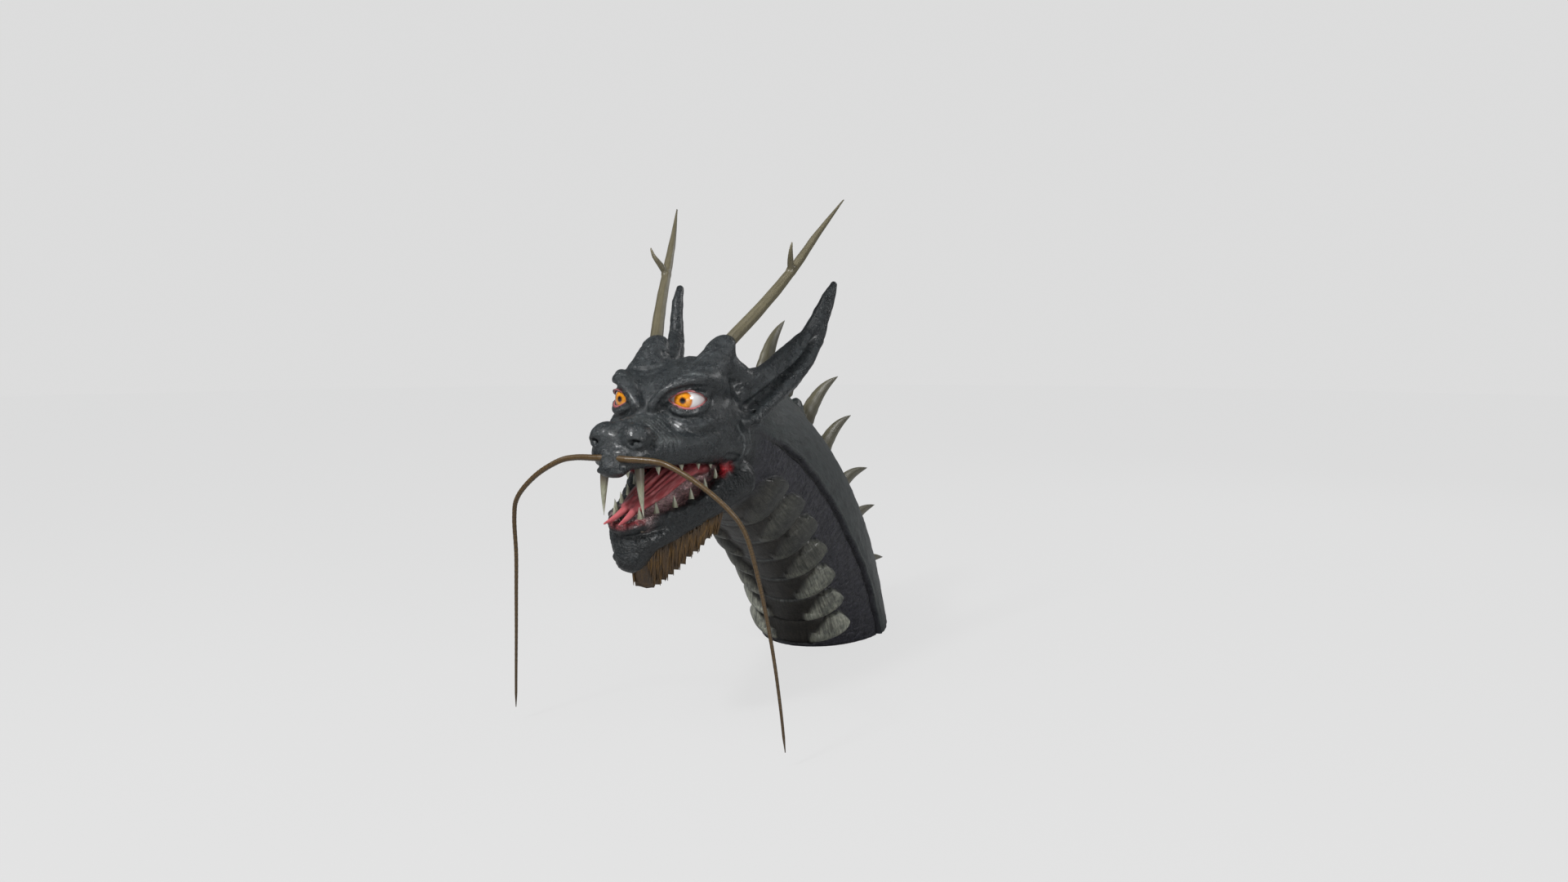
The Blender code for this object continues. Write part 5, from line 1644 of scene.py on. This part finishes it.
def makeSpines():
    finish = hornFinish("spineHorn", (0.066, 0.060, 0.036), (0.105, 0.096, 0.060))
    for k, (y, z, tipY, tipZ) in enumerate(spineCut["places"]):
        root, tip = np.array((0, y, z)), np.array((0, tipY, tipZ))
        way = (tip - root) / np.linalg.norm(tip - root)
        lift = np.array((0, -way[2], way[1]))
        start = root - way * share(spineCut["letIn"])
        rows = []
        for t in np.linspace(0, 1, spineCut["rings"]):
            middle = start + (tip - start) * t + lift * 0.30 * np.sin(np.pi * t)
            rows.append(
                (*middle, max(spineCut["radius"] * (1 - t) ** 0.8 * (0.45 + 0.55 * ramp(0, 0.08, t)), 0.0003))
            )
        rows = np.array(rows)

        def ripple(t, angle, k=k):
            rings = 0.035 * np.sin(46 * t + k) * ramp(0.55, 0.25, t)
            return rings + 0.03 * np.sin(6 * angle + k) * (1 - t) + 0.015 * np.sin(11 * angle)

        mesh = rod(
            f"spine{k + 1}", rowsOf(rows[:, :3], rows[:, 3]), spineCut["sides"], spineCut["flat"], (1, 0, 0),
            ripple
        )
        angle = np.tile(2 * np.pi * np.arange(spineCut["sides"]) / spineCut["sides"], spineCut["rings"])
        reach = np.repeat(np.linspace(0, 1, spineCut["rings"]), spineCut["sides"])
        mark(mesh, "laid", np.stack([np.cos(angle) * 5, np.sin(angle) * 5, reach * 4 + 9 * k], 1))
        addPiece(f"spine{k + 1}", mesh, finish, [f"spine_{k + 1}"])


# Whiskers

whiskerCut = {
    "path": [
        (0.12, -1.98, -1.48),
        (0.19, -2.18, -1.48),
        (0.45, -2.26, -1.49),
        (1.26, -2.10, -1.53),
        (1.84, -2.11, -1.67),
        (2.68, -2.04, -2.13),
        (3.44, -1.86, -2.79),
        (3.78, -1.61, -3.45),
        (3.98, -1.31, -4.63),
        (4.16, -1.12, -5.83),
        (4.31, -0.97, -7.04),
        (4.44, -0.86, -8.33),
        (4.54, -0.78, -9.54),
    ],
    "radius": 0.0036,
    "taper": ([0, 0.45, 0.97, 1], [1.0, 0.72, 0.4, 0.12]),
    "rings": 260,
}


def whiskerFinish():
    made, tree, shader, here = newFinish(
        "goldenWhisker", **{"IOR": 1.45, "Coat Weight": 0.15, "Coat Roughness": 0.2}
    )
    along = marked(tree, "along")
    speckle = grain(tree, here, 700, 4, 0.65)
    bands = addNode(tree, "ShaderNodeTexNoise", {"W": sumOf(tree, "MULTIPLY", along, 420.0), "Scale": 1.0, "Detail": 3.0}, noise_dimensions="1D").outputs[0]
    colour = mixTone(
        tree, spread(tree, bands, 0.35, 0.65, 0, 1), (0.032, 0.017, 0.004, 1), (0.086, 0.048, 0.011, 1)
    )
    colour = mixTone(tree, spread(tree, speckle, 0.5, 0.7, 0, 0.5), colour, (0.022, 0.013, 0.005, 1))
    colour = mixTone(tree, spread(tree, along, 0.6, 1.0, 0, 0.65), colour, (0.030, 0.019, 0.009, 1))
    rough = spread(tree, speckle, 0.3, 0.7, 0.30, 0.5)
    linkShader(
        tree, shader, colour, rough, raised(tree, speckle, 0.0003, 0.4, raised(tree, bands, 0.0006, 0.7))
    )
    return made


def makeWhiskers():
    run = smoothRun(whiskerCut["path"], whiskerCut["rings"])
    t = np.linspace(0, 1, len(run))
    taper = np.interp(t, *whiskerCut["taper"]) * (1 + 0.035 * np.sin(t * 520) * (t < 0.9))
    lines = [rowsOf(run, taper * whiskerCut["radius"])]
    mesh = madeByNodes(
        "whisker", lineMesh("whisker", lines), sweepTree(),
        {"Sides": 14, "Thickness": 1.0, "Finish": whiskerFinish()}
    )
    addPair("whisker", mesh, None, "whisker")


# Beard

beardCut = {
    "path": [
        (0.18, -0.92, -4.42), (0.56, -0.45, -4.1), (0.9, 0.1, -3.85), (1.1, 1.0, -3.6), (1.25, 2.0, -3.35)
    ],
    "length": 0.0380,
    "tuft": 0.0100,
    "shares": ([0, 0.05, 0.09, 0.14, 0.5, 0.8, 1], [0.1, 0.35, 0.9, 1.12, 0.98, 0.8, 0.72]),
    "root": 0.30,
    "stepsPerLock": 10,
    "strands": 520,
    "strandThick": 0.00085,
}


def beardDrop(t, locks):
    # how far the fringe hangs at a share of its length: pointed locks of uneven size
    t = np.asarray(t, float)
    step = t * locks
    saw = np.abs((step + 0.5) % 1.0 - 0.5) * 2
    small = np.abs((step * 3.0 + 0.3) % 1.0 - 0.5) * 2
    uneven = 0.08 * np.sin(step * 2.3) + 0.05 * np.sin(step * 5.7 + 1)
    hang = 0.72 + 0.28 * saw + 0.07 * small + uneven * 0.6
    return share(beardCut["length"]) * np.interp(t, *beardCut["shares"]) * np.minimum(hang, 1.02)


def beardFinish():
    made, tree, shader, here = newFinish(
        "goldenBeard", **{"IOR": 1.5, "Coat Weight": 0.1, "Coat Roughness": 0.35}
    )
    along = marked(tree, "along")
    strands = grain(tree, stretched(tree, here, (620, 620, 26)), 1.0, 5, 0.65, 0.25)
    clumps = grain(tree, stretched(tree, here, (120, 120, 14)), 1.0, 3, 0.6)
    colour = mixTone(
        tree, spread(tree, strands, 0.36, 0.66, 0, 1), (0.022, 0.010, 0.002, 1), (0.165, 0.085, 0.013, 1)
    )
    colour = mixTone(tree, spread(tree, clumps, 0.38, 0.62, 0.7, 0.0), colour, (0.035, 0.018, 0.006, 1))
    colour = mixTone(tree, spread(tree, along, 0.0, 0.3, 0.7, 0.0), colour, (0.018, 0.013, 0.008, 1))
    colour = mixTone(tree, spread(tree, along, 0.75, 1.0, 0.0, 0.5), colour, (0.04, 0.022, 0.008, 1))
    rough = spread(tree, strands, 0.3, 0.7, 0.42, 0.62)
    linkShader(tree, shader, colour, rough, raised(tree, strands, 0.0012, 0.9))
    return made


def makeBeard():
    path = np.array(beardCut["path"], float)
    reach = np.linalg.norm(np.diff(path, axis=0), axis=1).sum()
    locks = max(3, round(reach * unit / beardCut["tuft"]))
    steps = locks * beardCut["stepsPerLock"] + 1
    top = smoothRun(path, steps)
    t = np.linspace(0, 1, steps)
    drop = beardDrop(t, locks)
    rings, depths = [], []
    rng = np.random.default_rng(7)
    comb = rng.normal(0, 1, (steps, 2))
    comb = 0.6 * comb + 0.4 * np.roll(comb, 1, 0)
    down = np.linspace(0, 1, 10)
    for k, (width, y, z) in enumerate(top):
        ring, deep = [], []
        for side in (-1, 1):
            order = down if side < 0 else down[::-1]
            for d in order:
                fall = -beardCut["root"] + d * (drop[k] + beardCut["root"])
                groove = 0.022 * comb[k, 0 if side < 0 else 1] * ramp(0.0, 0.25, d)
                wide = width * (1.0 - 0.15 * d) + groove
                back = 0.12 * drop[k] * d
                ring.append((side * wide, y + back + 0.4 * groove, z - fall))
                deep.append(d)
        # the underside sags a little between the two fringes
        middle = [
            (-0.5 * width, y + 0.16 * drop[k], z - 1.02 * drop[k]),
            (0, y + 0.2 * drop[k], z - 1.06 * drop[k]), (0.5 * width, y + 0.16 * drop[k], z - 1.02 * drop[k])
        ]
        ring[10:10] = middle
        deep[10:10] = [1, 1, 1]
        ring.append((0, y, z + 1.2 * beardCut["root"]))
        deep.append(0)
        rings.append(placeAll(ring))
        depths.append(deep)
    mesh = tubeOf("beard", rings)
    mark(mesh, "along", np.concatenate(depths))
    finish = beardFinish()
    addPiece("beard", mesh, finish, ["beard"])
    addStrands(path, locks, rng, finish)

def addStrands(path, locks, rng, finish):
    # single strands over both fringes, a few of them hanging past the edge
    top = smoothRun(path, 400)
    lines = []
    for n in range(beardCut["strands"]):
        s = rng.uniform(0.005, 0.995)
        side = 1 if n % 2 else -1
        width, y, z = top[int(s * 399)]
        hang = float(beardDrop(s, locks)) * rng.uniform(0.82, 1.06)
        lean = rng.normal(0, 0.035)
        start = rng.uniform(0.0, 0.35)
        rows = []
        for d in np.linspace(start, 1, 7):
            wide = width * (1.0 - 0.15 * d) + 0.012 + 0.01 * np.sin(6 * d + n)
            thick = beardCut["strandThick"] * (
                0.35 + 0.65 * np.sin(np.pi * min(0.98, 0.12 + 0.84 * (d - start) / (1 - start)))
            )
            rows.append((side * wide, y + 0.12 * hang * d + lean * d, z - d * hang, thick))
        rows = np.array(rows)
        lines.append(rowsOf(rows[:, :3], rows[:, 3]))
    mesh = madeByNodes(
        "beardStrands", lineMesh("beardStrands", lines), sweepTree(),
        {"Sides": 5, "Thickness": 1.0, "Finish": finish}
    )
    addPiece("beardStrands", mesh, None, [])


# Stage: camera, floor and light

stageSet = {
    "cameraFrom": (15.9787, -26.6213, 1.6661),
    "azimuth": 23.9458,
    "elevation": 5.3197,
    "lens": 24.45,
    "floorRadius": 9.0,
    "floorTone": (0.38, 0.38, 0.38),
    "floorPlain": (0.80, 0.80, 0.80),
    "floorSeen": 0.85,  # how far the camera sees the plain tone and not the light on it
    "backTone": (0.72, 0.72, 0.72),  # seen behind the piece
    "roomTone": (0.13, 0.135, 0.14),  # what lights it
    "sunWay": (-0.20, -0.52, 0.83),
    "sunStrength": 1.55,
    "sunSpread": 32,
    "lamps": {
        # place, what it points at, size and power
        "glintLamp": ((-0.35, -1.9, 1.75), (0, -0.35, 0.3), 0.26, 40),
        "sideLamp": ((1.9, -1.5, 0.9), (0, -0.35, 0.3), 0.6, 24),
        "lowLamp": ((1.3, -2.0, 0.35), (0, -0.45, 0.27), 0.8, 4),
        "backLamp": ((0.9, 1.7, 1.5), (0, -0.35, 0.3), 0.9, 10),
    },
}

def setCamera():
    camera = link(bpy.data.objects.new("camera", bpy.data.cameras.new("camera")))
    camera.data.lens = stageSet["lens"]
    camera.data.sensor_width = 36
    camera.data.clip_start = 0.01
    camera.location = place(stageSet["cameraFrom"])
    tilt = np.radians(90 - stageSet["elevation"])
    camera.rotation_euler = (tilt, 0, np.radians(stageSet["azimuth"]))
    bpy.context.scene.camera = camera

def showCamera(tree, lit, seen, amount, output):
    # the camera sees another shader than the one that takes part in the light
    ray = addNode(tree, "ShaderNodeLightPath").outputs["Is Camera Ray"]
    factor = sumOf(tree, "MULTIPLY", ray, amount)
    both = addNode(tree, "ShaderNodeMixShader", {0: factor, 1: lit.outputs[0], 2: seen.outputs[0]})
    tree.links.new(both.outputs[0], tree.nodes[output].inputs["Surface"])

def setFloor():
    bm = bmesh.new()
    bmesh.ops.create_circle(bm, cap_ends=True, segments=96, radius=stageSet["floorRadius"])
    mesh = bpy.data.meshes.new("floor")
    bm.to_mesh(mesh)
    bm.free()
    floor = link(bpy.data.objects.new("floor", mesh))
    fixed = {"Base Color": tone(stageSet["floorTone"]), "Roughness": 0.9}
    paper, tree, shader, _ = newFinish("palePaper", **fixed)
    plain = addNode(tree, "ShaderNodeEmission", {"Color": tone(stageSet["floorPlain"])})
    showCamera(tree, shader, plain, stageSet["floorSeen"], "Material Output")
    mesh.materials.append(paper)

def setRoom():
    world = bpy.data.worlds.new("paleRoom")
    world.use_nodes = True
    tree = world.node_tree
    room = tree.nodes["Background"]
    room.inputs["Color"].default_value = tone(stageSet["roomTone"])
    behind = addNode(tree, "ShaderNodeBackground", {"Color": tone(stageSet["backTone"])})
    showCamera(tree, room, behind, 1.0, "World Output")
    bpy.context.scene.world = world
    bpy.context.scene.view_settings.view_transform = "Standard"

def setLights():
    data = bpy.data.lights.new("softSun", "SUN")
    data.energy = stageSet["sunStrength"]
    data.angle = np.radians(stageSet["sunSpread"])
    sun = link(bpy.data.objects.new("softSun", data))
    sun.rotation_euler = Vector(stageSet["sunWay"]).to_track_quat("Z", "Y").to_euler()
    for name, (where, aim, size, power) in stageSet["lamps"].items():
        data = bpy.data.lights.new(name, "AREA")
        data.shape = "DISK"
        data.size = size
        data.energy = power
        lamp = link(bpy.data.objects.new(name, data))
        lamp.location = where
        lamp.rotation_euler = (Vector(aim) - Vector(where)).to_track_quat("-Z", "Y").to_euler()

print("camera, floor and light")
setCamera()
setFloor()
setRoom()
setLights()
print("carved skin")
skinPiece = makeSkin()
print("palate beads")
makeBeads(skinPiece)
print("eyes and lids")
makeEyes()
makeLids()
print("teeth")
makeTeeth()
print("tongue")
makeTongue()
print("antlers and spines")
makeAntlers()
makeSpines()
print("whiskers and beard")
makeWhiskers()
makeBeard()
